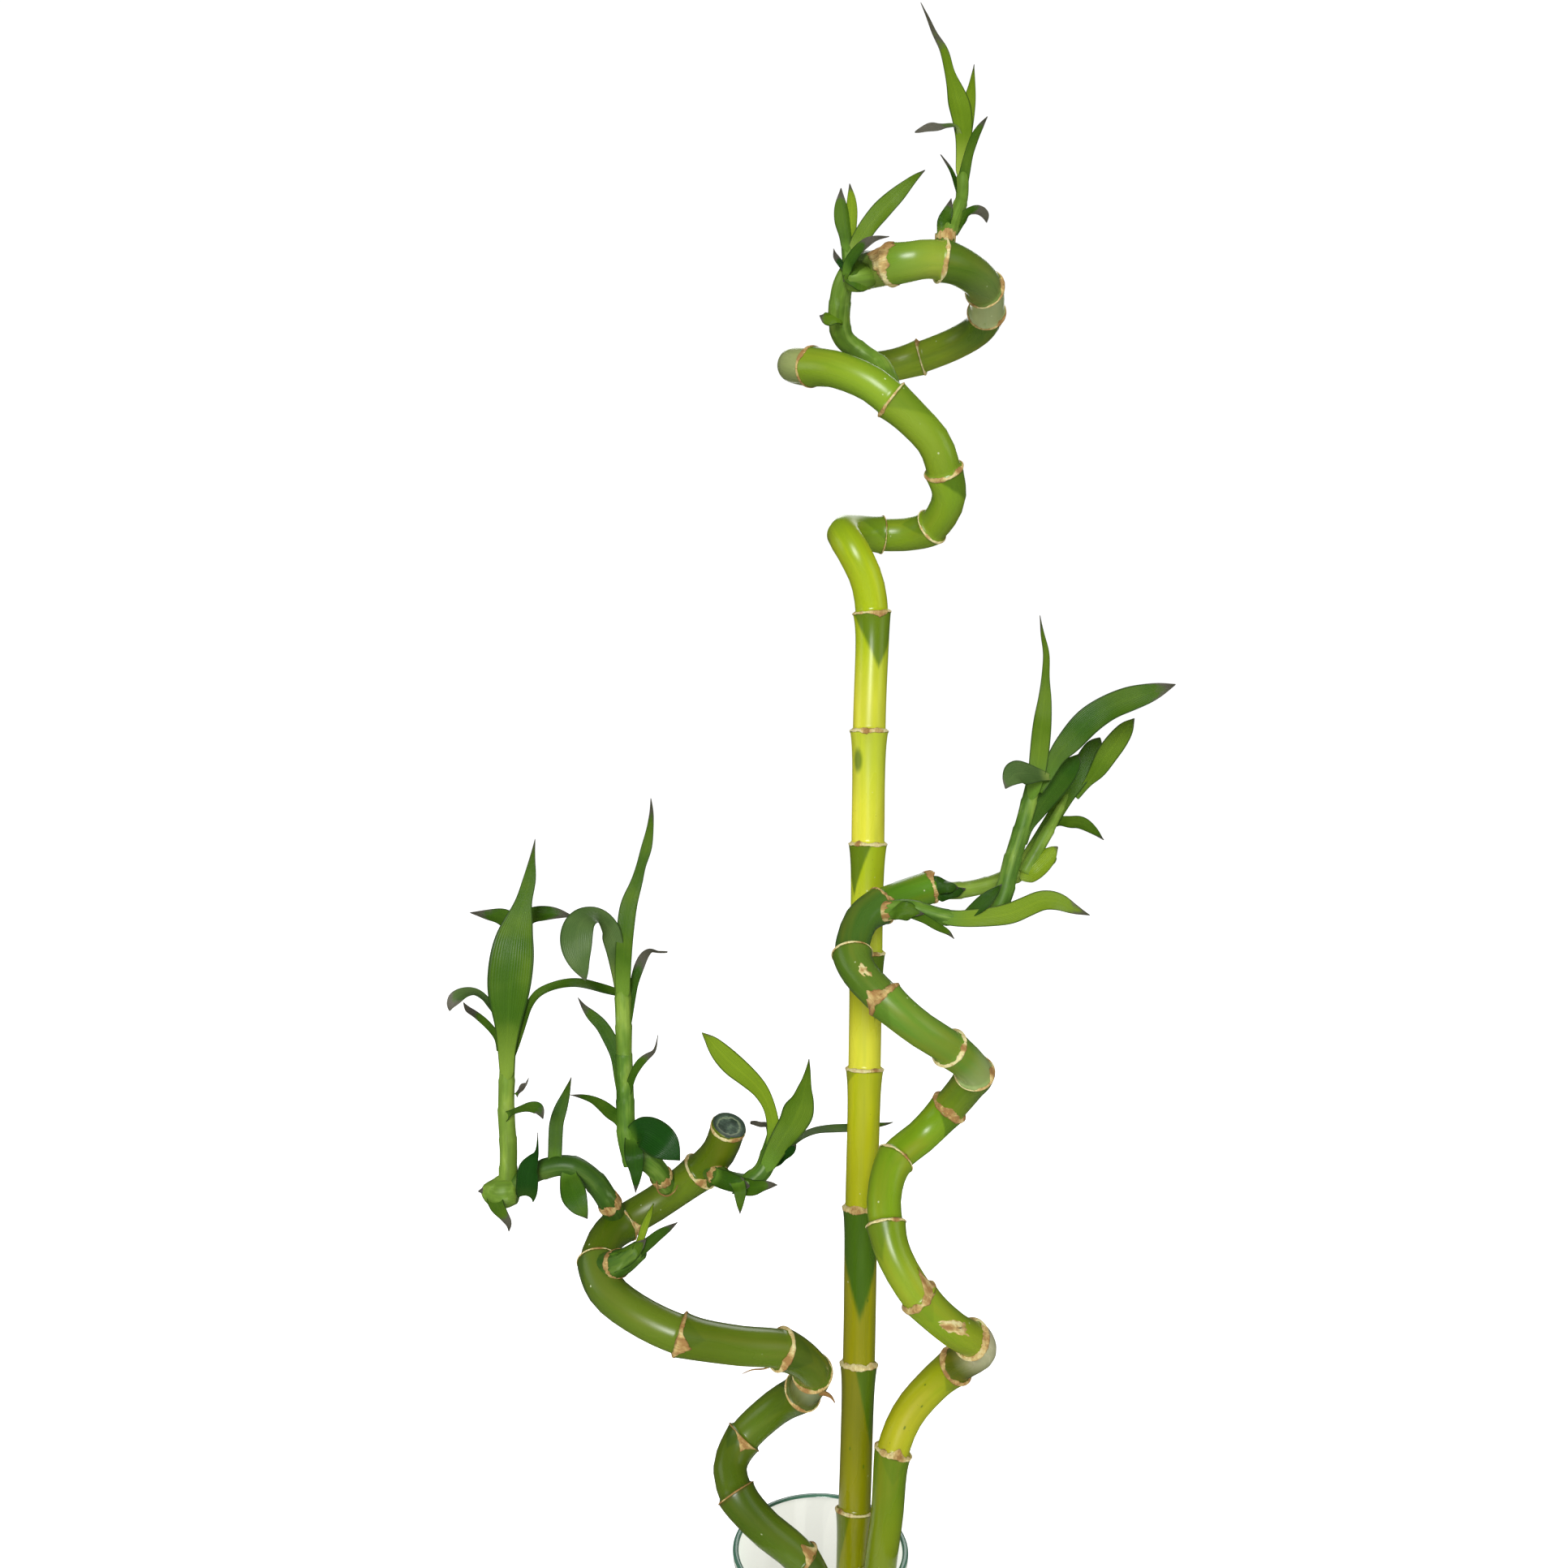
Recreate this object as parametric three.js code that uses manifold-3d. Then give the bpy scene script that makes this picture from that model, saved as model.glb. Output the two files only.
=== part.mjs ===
import * as THREE from 'three';
import { mergeVertices } from 'three/addons/utils/BufferGeometryUtils.js';
import Module from 'manifold-3d';

// Three lucky bamboo canes, two of them trained into loose spirals and one into a spiral top,
// stand in a glass cylinder vase with some water. Leafy shoots break from their upper nodes.
// Millimetres, +Z up, origin at the centre of the vase's base, the viewer stands on the -Y side.

// Vase and water
const VASE_RADIUS = 40;
const VASE_HEIGHT = 200;
const VASE_WALL = 3.2;
const VASE_FLOOR = 9;
const VASE_FOOT_ROUND = 2;
const VASE_SIDES = 48;
const WATER_LEVEL = 118;

// Clearance between pieces that touch
const GAP = 0.3;

// Canes
const CANE_SIDES = 12;
const CANE_FLOOR = VASE_FLOOR + GAP;
const CANE_LEAD = 20;
const RING_PROUD = 1.3;
const RING_FLARE = 7;
const RING_LIP = 1.2;
const RING_STATIONS = [-9, -3, 0, RING_LIP];
const BEND_STEP = 8;
const STRAIGHT_RATIO = 1.002;

// Leaves and shoot stems
const BLADE_THICKNESS = 0.7;
const BLADE_TIP = 0.5;
const BLADE_FOLD = 0.22;
const BLADE_TAPER = 1.2;
const BELLY = 0.36;
const SHEATH_WIDTH = 0.5;
const STEM_SIDES = 8;
const STEM_STEP = 7;

// Colours
const OLD_CANE = '#9dad26';
const BRIGHT_CANE = '#86a62a';
const GREEN_CANE = '#5c8a28';
const LEAF = '#4b8330';
const DARK_LEAF = '#3f7234';
const GLASS = '#cfe0dc';
const WATER = '#dfe9e2';

// A cane is listed by its internodes from the cut foot up. Each row starts at a ring, and the
// points after it are those that the cane passes before its next ring.
const TALL_CANE = {
  radii: [7.1, 7.7],
  internodes: [
    [[12, 13, CANE_FLOOR], [12, 13, CANE_LEAD]],
    [[13, 13, 72]],
    [[14, 12, 140]],
    [[16, 10, 207]],
    [[18.2, 10, 275]],
    [[19.3, 10, 346]],
    [[20.9, 10, 414]],
    [[21.6, 10, 466]],
    [[22.4, 10, 518]],
    [[23, 10, 571]],
    [[24.2, 10, 627], [21.5, 7, 642], [15, 5, 655], [11, 12, 664], [18, 26, 668]],
    [[31, 33, 668], [44, 31, 668]],
    [[54, 24, 670], [60, 10, 680]],
    [[56, -2, 690], [51, -9, 700], [41, -12, 710]],
    [[31, -14, 718], [22, -14, 725], [7, -9, 733]],
    [[-4, 1, 738], [-12, 16, 744], [-5, 38, 750]],
    [[16, 56, 756], [37, 62, 760]],
    [[53, 60, 764], [70, 51, 768]],
    [[79, 37, 770]],
    [[79, 18, 774], [70, -6, 776]],
    [[57, -20, 776], [45, -26, 775], [34, -26, 773]],
    [[26, -19, 775], [20, -8, 778]],
  ],
};

const RIGHT_CANE = {
  radii: [7.2, 7.4],
  internodes: [
    [[22, -10, CANE_FLOOR], [22, -10, CANE_LEAD]],
    [[24, -9, 70]],
    [[26, -7, 130]],
    [[26.5, -6, 190], [30, -5, 217]],
    [[33, -3, 245], [40, 0, 260], [52, 0, 274]],
    [[61, -6, 285], [69, -21, 300], [56, -36, 315]],
    [[40, -42, 332], [30, -39, 348]],
    [[27, -33, 359], [27, -25, 369]],
    [[33, -14, 381], [46, -6, 389]],
    [[58, -7, 402], [66, -23, 420]],
    [[53, -40, 436], [38, -49, 447]],
    [[25, -47, 458], [15, -38, 468]],
    [[13, -29, 477], [18, -18, 488]],
    [[27, -11, 493], [40, -6, 497.5], [51, -4, 501]],
  ],
};

const LEFT_CANE = {
  radii: [7.2, 7.2],
  internodes: [
    [[-2, -17, CANE_FLOOR], [-2, -17, CANE_LEAD]],
    [[-1, -18, 62]],
    [[2, -17, 115], [5, -16, 150], [2, -13, 180]],
    [[-9, -11, 201], [-27, -13, 218]],
    [[-38, -10, 230], [-41, -2, 237.5]],
    [[-35, 6, 246], [-20, 6, 260]],
    [[-8, -3, 272], [-4, -16, 287], [-10, -27, 299]],
    [[-18, -34, 306], [-37, -43, 312]],
    [[-60, -46, 318], [-80, -41, 325], [-93, -32, 331]],
    [[-98, -21, 338], [-96, -10, 344]],
    [[-89, -1, 348], [-75, 4, 355]],
    [[-55, 2, 370], [-46, -4, 381], [-41, -11, 395]],
  ],
};

// A shoot has stems, as a path with the radii at its two ends, and leaves, each as the line its
// midrib follows from the stem to the tip, its greatest width and the way its upper face looks.
const TO_VIEWER = [0, -1, 0.35];
const UPWARD = [0, -0.5, 1];
const SKYWARD = [0, -0.1, 1];
const SIDEWAYS = [0.8, -0.8, 0.2];

const SHOOTS = {
  shoot_tall_inner: {
    cane: 'cane_tall',
    colour: LEAF,
    stems: [
      { path: [[32, -10, 722], [28, 2, 738], [19, 6, 749], [9, 1, 755]], radii: [4.4, 4.4] },
      { path: [[10, 2, 753], [8, -6, 758], [9, -18, 764], [12, -24, 772]], radii: [4.9, 4] },
      { path: [[12, -24, 770], [11, -24, 782], [11, -22, 796]], radii: [3.2, 2.3] },
    ],
    leaves: [
      { midrib: [[11, -22, 790], [9, -24, 800], [12, -25, 808]], width: 6, face: TO_VIEWER },
      {
        midrib: [[12, -24, 778], [22, -30, 792], [32, -34, 801], [44, -32, 809]],
        width: 11,
        face: TO_VIEWER,
      },
      { midrib: [[12, -24, 769], [19, -34, 775], [29, -38, 778]], width: 7, face: UPWARD },
      { midrib: [[10, 1, 755], [5, 0, 757], [2, 0, 756]], width: 5, face: UPWARD },
    ],
  },
  shoot_tall_outer: {
    cane: 'cane_tall',
    colour: DARK_LEAF,
    stems: [
      { path: [[54, -21, 777], [54, -22, 789]], radii: [4.6, 4] },
      { path: [[54, -22, 787], [59, -20, 797], [62, -18, 807], [62, -16, 822]], radii: [3.4, 2.4] },
    ],
    leaves: [
      { midrib: [[54, -22, 787], [55, -25, 794], [56, -27, 801]], width: 7, face: TO_VIEWER },
      { midrib: [[59, -20, 793], [65, -23, 797], [70, -27, 795], [72, -30, 790]], width: 5, face: TO_VIEWER },
      { midrib: [[61, -18, 808], [58, -14, 818], [53, -10, 828]], width: 5, face: SIDEWAYS },
      { midrib: [[62, -17, 814], [66, -24, 823], [71, -32, 833]], width: 5, face: TO_VIEWER },
      {
        midrib: [[62, -16, 812], [62, -16, 832], [62, -14, 850], [56, -8, 876], [46, -3, 902]],
        width: 11,
        face: TO_VIEWER,
        taper: 1.8,
      },
      { midrib: [[62, -15, 826], [68, -6, 850], [71, 4, 875]], width: 6, face: SIDEWAYS },
      { midrib: [[62, -16, 832], [50, -28, 830], [40, -36, 824]], width: 6, face: TO_VIEWER },
    ],
  },
  shoot_right_leafy: {
    cane: 'cane_right',
    colour: LEAF,
    stems: [
      { path: [[24, -15, 490], [37, -22, 493], [56, -24, 488], [73, -24, 487]], radii: [4.2, 3.2] },
      { path: [[70, -24, 487], [78, -24, 494], [83, -22, 513], [89, -20, 532], [94, -20, 549]], radii: [3.4, 3.6] },
    ],
    leaves: [
      { midrib: [[42, -23, 490], [50, -28, 486], [56, -34, 480]], width: 6, face: UPWARD },
      {
        midrib: [[70, -24, 487], [87, -29, 491], [97, -33, 496], [105, -36, 496], [114, -39, 491]],
        width: 10.5,
        face: TO_VIEWER,
      },
      { midrib: [[95, -20, 545], [88, -29, 550], [78, -37, 546]], width: 11, face: TO_VIEWER },
      {
        midrib: [[94, -20, 545], [97, -16, 570], [100, -12, 595], [98, -10, 620]],
        width: 9,
        face: TO_VIEWER,
      },
      {
        midrib: [[94, -20, 543], [108, -22, 564], [121, -26, 577], [136, -30, 585], [151, -34, 589]],
        width: 14.5,
        face: TO_VIEWER,
      },
      { midrib: [[89, -20, 528], [104, -14, 544], [117, -12, 559]], width: 10.5, face: TO_VIEWER },
    ],
  },
  shoot_right_end: {
    cane: 'cane_right',
    colour: LEAF,
    stems: [
      { path: [[47, -5, 501], [59, -4, 499], [74, -2, 501], [91, 0, 507], [105, 2, 513]], radii: [4.4, 4] },
      { path: [[92, 0, 507], [101, 3, 522], [111, 6, 537], [121, 7, 552]], radii: [3.6, 2.6] },
    ],
    leaves: [
      { midrib: [[118, 7, 548], [126, 7, 560], [129, 6, 569]], width: 8, face: TO_VIEWER },
      { midrib: [[119, 7, 549], [132, 0, 563], [141, -5, 577]], width: 9, face: TO_VIEWER },
      { midrib: [[107, 5, 530], [117, -6, 526], [125, -16, 519]], width: 8, face: TO_VIEWER },
    ],
  },
  shoot_left_outer: {
    cane: 'cane_left',
    colour: LEAF,
    stems: [
      {
        path: [[-93, -12, 350], [-95, -15, 363], [-101, -16, 372], [-111, -18, 379], [-124, -18, 377], [-139, -18, 368]],
        radii: [5.2, 4.4],
      },
      { path: [[-139, -18, 367], [-138, -18, 384], [-139, -18, 404], [-138, -18, 440]], radii: [3.8, 3.2] },
      { path: [[-136, -18, 368], [-142, -19, 368], [-149, -20, 369]], radii: [6.5, 4.5] },
    ],
    leaves: [
      { midrib: [[-129, -19, 374], [-128, -25, 384], [-123, -28, 397]], width: 8, face: TO_VIEWER },
      { midrib: [[-143, -20, 366], [-140, -27, 360], [-134, -32, 352]], width: 7, face: TO_VIEWER },
      { midrib: [[-109, -19, 378], [-107, -28, 369], [-102, -31, 359]], width: 10.5, face: TO_VIEWER },
      { midrib: [[-116, -18, 378], [-116, -14, 397], [-110, -8, 414]], width: 7, face: TO_VIEWER },
      { midrib: [[-138, -18, 399], [-128, -26, 407], [-120, -31, 402]], width: 5, face: UPWARD },
      {
        midrib: [[-138, -18, 433], [-136, -21, 463], [-132, -18, 486], [-129, -14, 506], [-128, -10, 522]],
        width: 20,
        face: TO_VIEWER,
        taper: 2.2,
      },
      { midrib: [[-138, -17, 436], [-136, -4, 466], [-146, 2, 485], [-162, 6, 487]], width: 6.5, face: UPWARD },
      { midrib: [[-138, -16, 434], [-134, -1, 466], [-127, 3, 484], [-116, 4, 486]], width: 6.5, face: UPWARD },
      { midrib: [[-139, -18, 434], [-147, -22, 452], [-155, -28, 458], [-161, -32, 449]], width: 7, face: UPWARD },
      { midrib: [[-139, -18, 422], [-149, -10, 438], [-162, -4, 447]], width: 6.5, face: UPWARD },
      {
        midrib: [[-138, -18, 430], [-130, -20, 446], [-123, -22, 456], [-112, -25, 459], [-90, -29, 456]],
        width: 7.5,
        face: UPWARD,
      },
    ],
  },
  shoot_left_middle: {
    cane: 'cane_left',
    colour: DARK_LEAF,
    stems: [
      { path: [[-70, 0, 364], [-75, -9, 376], [-82, -12, 383], [-87, -12, 390]], radii: [4.8, 4.4] },
      { path: [[-87, -12, 386], [-87.5, -12, 411], [-88, -12, 432], [-89, -12, 484]], radii: [4, 3.3] },
    ],
    leaves: [
      { midrib: [[-84, -13, 385], [-83, -21, 376], [-81, -23, 365]], width: 7, face: TO_VIEWER },
      { midrib: [[-85, -13, 389], [-75, -22, 393], [-67, -28, 390], [-61, -30, 384]], width: 12, face: TO_VIEWER },
      { midrib: [[-88, -12, 399], [-99, -18, 408], [-110, -24, 410]], width: 6, face: UPWARD },
      { midrib: [[-88, -12, 406], [-80, -18, 424], [-72, -20, 437]], width: 6, face: TO_VIEWER },
      { midrib: [[-88, -12, 418], [-97, -8, 438], [-110, -4, 450]], width: 7, face: UPWARD },
      { midrib: [[-88, -12, 472], [-82, -12, 498], [-77, -8, 519], [-77, -4, 541]], width: 9, face: TO_VIEWER },
      {
        midrib: [[-89, -12, 478], [-95, -21, 491], [-103, -31, 487], [-104, -36, 474], [-99, -37, 459]],
        width: 13,
        face: UPWARD,
      },
      { midrib: [[-89, -12, 438], [-83, -10, 463], [-77, -8, 473], [-69, -4, 470]], width: 6, face: UPWARD },
    ],
  },
  shoot_left_inner: {
    cane: 'cane_left',
    colour: LEAF,
    stems: [
      { path: [[-51, -3, 373], [-42, -13, 371], [-31, -17, 370]], radii: [4.6, 4.2] },
      { path: [[-34, -17, 370], [-25, -15, 376], [-22, -12, 385], [-20, -10, 395]], radii: [3.8, 3] },
    ],
    leaves: [
      { midrib: [[-21, -11, 389], [-27, -16, 409], [-39, -22, 425], [-52, -25, 438]], width: 10, face: TO_VIEWER },
      { midrib: [[-21, -11, 390], [-26, -18, 400], [-32, -22, 400]], width: 5, face: UPWARD },
      { midrib: [[-20, -10, 387], [-8, -16, 403], [-5, -22, 426]], width: 9, face: TO_VIEWER },
      { midrib: [[-22, -12, 384], [-7, 4, 387], [10, 24, 383], [37, 37, 382]], width: 5.5, face: SKYWARD },
      { midrib: [[-24, -14, 379], [-14, -21, 385], [-8, -26, 389]], width: 7, face: UPWARD },
      { midrib: [[-34, -17, 370], [-36, -22, 365], [-35, -24, 358]], width: 6, face: TO_VIEWER },
    ],
  },
  shoot_left_short: {
    cane: 'cane_left',
    colour: LEAF,
    stems: [{ path: [[-95, -26, 338], [-86, -34, 343], [-77, -40, 351]], radii: [5.4, 4] }],
    leaves: [
      { midrib: [[-81, -38, 348], [-69, -42, 357], [-61, -45, 364]], width: 8, face: TO_VIEWER },
      { midrib: [[-80, -39, 350], [-75, -39, 361], [-72, -35, 370]], width: 6, face: TO_VIEWER },
    ],
  },
};

const wasm = await Module();
wasm.setup();

function vectors(points) {
  return points.map((point) => new THREE.Vector3(...point));
}

function curveThrough(points) {
  return new THREE.CatmullRomCurve3(vectors(points), false, 'centripetal');
}

function solidFrom(geometry) {
  const bare = geometry.clone();
  bare.deleteAttribute('normal');
  bare.deleteAttribute('uv');
  const merged = mergeVertices(bare, 1e-4);
  return new wasm.Manifold(
    new wasm.Mesh({
      numProp: 3,
      vertProperties: Float32Array.from(merged.attributes.position.array),
      triVerts: Uint32Array.from(merged.index.array),
    }),
  );
}

function geometryFrom(solid) {
  const mesh = solid.getMesh();
  const geometry = new THREE.BufferGeometry();
  geometry.setAttribute('position', new THREE.BufferAttribute(mesh.vertProperties, 3));
  geometry.setIndex(new THREE.BufferAttribute(mesh.triVerts, 1));
  geometry.computeVertexNormals();
  return geometry;
}

// A closed cylinder is bent along a curve, with its rows at the given distances along it.
function tubeAlong(curve, distances, radiusAt, sides) {
  const length = curve.getLength();
  const rows = [];
  let across = new THREE.Vector3(1, 0, 0);
  for (const distance of distances) {
    const share = Math.min(distance / length, 1);
    const tangent = curve.getTangentAt(share);
    across = across.clone().addScaledVector(tangent, -across.dot(tangent)).normalize();
    rows.push({
      centre: curve.getPointAt(share),
      across,
      beside: across.clone().cross(tangent),
      radius: radiusAt(distance),
    });
  }
  const last = rows.length - 1;
  const tube = new THREE.CylinderGeometry(1, 1, 1, sides, last);
  const position = tube.attributes.position;
  for (let i = 0; i < position.count; i += 1) {
    const row = rows[Math.round((position.getY(i) + 0.5) * last)];
    const point = row.centre
      .clone()
      .addScaledVector(row.across, position.getX(i) * row.radius)
      .addScaledVector(row.beside, position.getZ(i) * row.radius);
    position.setXYZ(i, point.x, point.y, point.z);
  }
  return tube;
}

// Distances of the way points along a curve through them
function distancesOf(curve, count) {
  const stepsEach = 40;
  const lengths = curve.getLengths(stepsEach * (count - 1));
  return Array.from({ length: count }, (_, i) => lengths[i * stepsEach]);
}

function caneShape({ radii, internodes }) {
  const points = internodes.flat();
  const curve = curveThrough(points);
  curve.arcLengthDivisions = 40 * (points.length - 1);
  const along = distancesOf(curve, points.length);
  const length = along.at(-1);
  const rings = [];
  let passed = internodes[0].length;
  for (const internode of internodes.slice(1)) {
    rings.push(along[passed]);
    passed += internode.length;
  }
  return { radii, curve, length, rings };
}

// Below each ring the cane flares out to it, and above the ring it starts again at its own width.
function caneRadius({ radii, length, rings }, distance) {
  const radius = THREE.MathUtils.lerp(radii[0], radii[1], distance / length);
  const ring = rings.find((at) => at + RING_LIP > distance);
  if (ring === undefined) return radius;
  const past = distance - ring;
  const share = past > 0 ? 1 - past / RING_LIP : Math.exp(past / RING_FLARE);
  return radius + RING_PROUD * share;
}

function caneStations({ curve, length, rings }) {
  const ends = [0, ...rings, length];
  const stations = [0, length];
  for (const ring of rings) {
    stations.push(...RING_STATIONS.map((offset) => ring + offset));
  }
  for (let i = 1; i < ends.length; i += 1) {
    const from = ends[i - 1] + RING_LIP;
    const to = ends[i] + RING_STATIONS[0];
    const chord = curve.getPointAt(ends[i - 1] / length).distanceTo(curve.getPointAt(ends[i] / length));
    const bends = (ends[i] - ends[i - 1]) / chord > STRAIGHT_RATIO;
    const parts = bends ? Math.max(1, Math.round((to - from) / BEND_STEP)) : 1;
    for (let part = 1; part < parts; part += 1) {
      stations.push(from + ((to - from) * part) / parts);
    }
  }
  return stations.sort((a, b) => a - b);
}

function caneSolid(shape, margin = 0) {
  const distances = caneStations(shape);
  return solidFrom(
    tubeAlong(shape.curve, distances, (distance) => caneRadius(shape, distance) + margin, CANE_SIDES),
  );
}

function stemSolid({ path, radii }) {
  const curve = curveThrough(path);
  const length = curve.getLength();
  const steps = Math.max(2, Math.round(length / STEM_STEP));
  const distances = Array.from({ length: steps + 1 }, (_, i) => (length * i) / steps);
  const radiusAt = (distance) => THREE.MathUtils.lerp(radii[0], radii[1], distance / length);
  return solidFrom(tubeAlong(curve, distances, radiusAt, STEM_SIDES));
}

// Half the width of a leaf at a share of its length, from its sheath over its belly to its tip.
// A greater taper draws the tip out into a longer point.
function halfWidth(width, taper, share) {
  const rise = SHEATH_WIDTH + (1 - SHEATH_WIDTH) * Math.sin((Math.PI / 2) * Math.min(share / BELLY, 1));
  const fall = Math.cos((Math.PI / 2) * Math.max((share - BELLY) / (1 - BELLY), 0)) ** taper;
  return Math.max((width / 2) * rise * fall, BLADE_TIP);
}

// A leaf is a folded strip along its midrib. Its two faces are split into the same triangles.
function leafSolid({ midrib, width, face, taper = BLADE_TAPER }) {
  const curve = curveThrough(midrib);
  const rows = midrib.length > 3 ? 8 : 6;
  const facing = new THREE.Vector3(...face).normalize();
  const positions = [];
  for (let row = 0; row < rows; row += 1) {
    const share = row / (rows - 1);
    const centre = curve.getPointAt(share);
    const tangent = curve.getTangentAt(share);
    const side = tangent.clone().cross(facing).normalize();
    const up = side.clone().cross(tangent);
    const half = halfWidth(width, taper, share);
    for (const thickness of [BLADE_THICKNESS / 2, -BLADE_THICKNESS / 2]) {
      for (const column of [-1, 0, 1]) {
        const point = centre
          .clone()
          .addScaledVector(side, column * half)
          .addScaledVector(up, Math.abs(column) * half * BLADE_FOLD + thickness);
        positions.push(point.x, point.y, point.z);
      }
    }
  }
  const top = (row, column) => row * 6 + column;
  const under = (row, column) => row * 6 + 3 + column;
  const triangles = [];
  const quad = (a, b, c, d) => triangles.push(a, b, c, a, c, d);
  for (let row = 0; row < rows - 1; row += 1) {
    for (const column of [0, 1]) {
      const [a, b] = [top(row, column), top(row, column + 1)];
      const [c, d] = [top(row + 1, column + 1), top(row + 1, column)];
      quad(a, b, c, d);
      triangles.push(a + 3, c + 3, b + 3, a + 3, d + 3, c + 3);
    }
    quad(under(row, 0), top(row, 0), top(row + 1, 0), under(row + 1, 0));
    quad(top(row, 2), under(row, 2), under(row + 1, 2), top(row + 1, 2));
  }
  const end = rows - 1;
  for (const column of [0, 1]) {
    quad(top(0, column), under(0, column), under(0, column + 1), top(0, column + 1));
    quad(top(end, column), top(end, column + 1), under(end, column + 1), under(end, column));
  }
  const geometry = new THREE.BufferGeometry();
  geometry.setAttribute('position', new THREE.Float32BufferAttribute(positions, 3));
  geometry.setIndex(triangles);
  return solidFrom(geometry);
}

// The shoot's foot is cut to the cane it grows from.
function shootSolid({ stems, leaves }, caneWithGap) {
  const pieces = [...stems.map(stemSolid), ...leaves.map(leafSolid)];
  return pieces.reduce((joined, piece) => joined.add(piece)).subtract(caneWithGap);
}

function vaseGeometry() {
  const inner = VASE_RADIUS - VASE_WALL;
  const lip = VASE_WALL / 2;
  const profile = [new THREE.Vector2(0, 0), new THREE.Vector2(VASE_RADIUS - VASE_FOOT_ROUND, 0)];
  profile.push(new THREE.Vector2(VASE_RADIUS, VASE_FOOT_ROUND));
  for (const degrees of [0, 45, 90, 135, 180]) {
    const angle = THREE.MathUtils.degToRad(degrees);
    const out = VASE_RADIUS - lip + lip * Math.cos(angle);
    profile.push(new THREE.Vector2(out, VASE_HEIGHT - lip + lip * Math.sin(angle)));
  }
  profile.push(new THREE.Vector2(inner, VASE_FLOOR + VASE_FOOT_ROUND));
  profile.push(new THREE.Vector2(inner - VASE_FOOT_ROUND, VASE_FLOOR));
  profile.push(new THREE.Vector2(0, VASE_FLOOR));
  return new THREE.LatheGeometry(profile, VASE_SIDES).rotateX(Math.PI / 2);
}

function waterSolid(canesWithGap) {
  const radius = VASE_RADIUS - VASE_WALL - GAP;
  const bottom = VASE_FLOOR + GAP;
  const profile = [
    new THREE.Vector2(0, bottom),
    new THREE.Vector2(radius - VASE_FOOT_ROUND, bottom),
    new THREE.Vector2(radius, bottom + VASE_FOOT_ROUND),
    new THREE.Vector2(radius, WATER_LEVEL),
    new THREE.Vector2(0, WATER_LEVEL),
  ];
  const body = solidFrom(new THREE.LatheGeometry(profile, VASE_SIDES).rotateX(Math.PI / 2));
  return canesWithGap.reduce((left, cane) => left.subtract(cane), body);
}

// A foot a little below the cane's own, so that the hole in the water goes right through
function withDeepFoot(cane) {
  const [foot, ...rest] = cane.internodes[0];
  const deeper = [foot[0], foot[1], foot[2] - 2 * GAP];
  return { ...cane, internodes: [[deeper, ...rest], ...cane.internodes.slice(1)] };
}

const lucky_bamboo = new THREE.Group();

function addPiece(name, geometry, color, roughness) {
  const piece = new THREE.Mesh(
    geometry,
    new THREE.MeshStandardMaterial({ color, roughness, metalness: 0 }),
  );
  piece.name = name;
  lucky_bamboo.add(piece);
}

const CANES = {
  cane_tall: { cane: TALL_CANE, colour: OLD_CANE },
  cane_right: { cane: RIGHT_CANE, colour: BRIGHT_CANE },
  cane_left: { cane: LEFT_CANE, colour: GREEN_CANE },
};

addPiece('vase', vaseGeometry(), GLASS, 0.05);

const canesWithGap = {};
for (const [name, { cane, colour }] of Object.entries(CANES)) {
  addPiece(name, geometryFrom(caneSolid(caneShape(cane))), colour, 0.35);
  canesWithGap[name] = caneSolid(caneShape(withDeepFoot(cane)), GAP);
}

addPiece('water', geometryFrom(waterSolid(Object.values(canesWithGap))), WATER, 0.02);

for (const [name, shoot] of Object.entries(SHOOTS)) {
  addPiece(name, geometryFrom(shootSolid(shoot, canesWithGap[shoot.cane])), shoot.colour, 0.4);
}

export default lucky_bamboo;
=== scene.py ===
import random
from math import atan2, ceil, cos, exp, pi, radians, sin, sqrt, tau

import bpy
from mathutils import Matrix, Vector, noise


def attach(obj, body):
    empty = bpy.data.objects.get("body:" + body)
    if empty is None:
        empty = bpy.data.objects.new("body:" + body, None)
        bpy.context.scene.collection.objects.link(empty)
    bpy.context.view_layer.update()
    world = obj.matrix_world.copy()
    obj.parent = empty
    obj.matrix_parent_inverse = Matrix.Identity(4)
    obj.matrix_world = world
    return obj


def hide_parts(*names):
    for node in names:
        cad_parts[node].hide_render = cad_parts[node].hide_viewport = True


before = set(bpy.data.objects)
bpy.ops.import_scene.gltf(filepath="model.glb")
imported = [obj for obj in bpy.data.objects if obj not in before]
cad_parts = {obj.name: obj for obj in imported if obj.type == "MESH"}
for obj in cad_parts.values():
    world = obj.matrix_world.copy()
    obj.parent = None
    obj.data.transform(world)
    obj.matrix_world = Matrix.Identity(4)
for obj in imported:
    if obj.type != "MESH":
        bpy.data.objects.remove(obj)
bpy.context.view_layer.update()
MM = 0.001

# Studio
# A pale floor and a white surround, with one wide soft light in front and above, and weaker ones at
# both sides and behind. The camera is level, a little over half-way up the plant, as in the photo.
CAMERA_PLACE = (-16.8, -532.0, 547.3)
FOCAL_PIXELS = 1437
PHOTO_WIDTH = 1931
SENSOR_WIDTH = 36.0
PLANT_MIDDLE = Vector((0.0, 0.0, 0.55))
FLOOR_RADIUS = 6.0
SURROUND_SEEN = 1.05
SURROUND_LIGHT = 0.3
SURROUND_GLOSS = 0.06
SURROUND_RAYS = (
    ("Is Glossy Ray", SURROUND_GLOSS), ("Is Transmission Ray", SURROUND_SEEN),
    ("Is Camera Ray", SURROUND_SEEN)
)
FLOOR_SIDES = 96
GLOW_NEAR = 0.1
GLOW_FAR = 0.5
FLOOR_GLOW = 0.5
WHITE = (1, 1, 1, 1)
BLACK = (0, 0, 0, 1)

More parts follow.
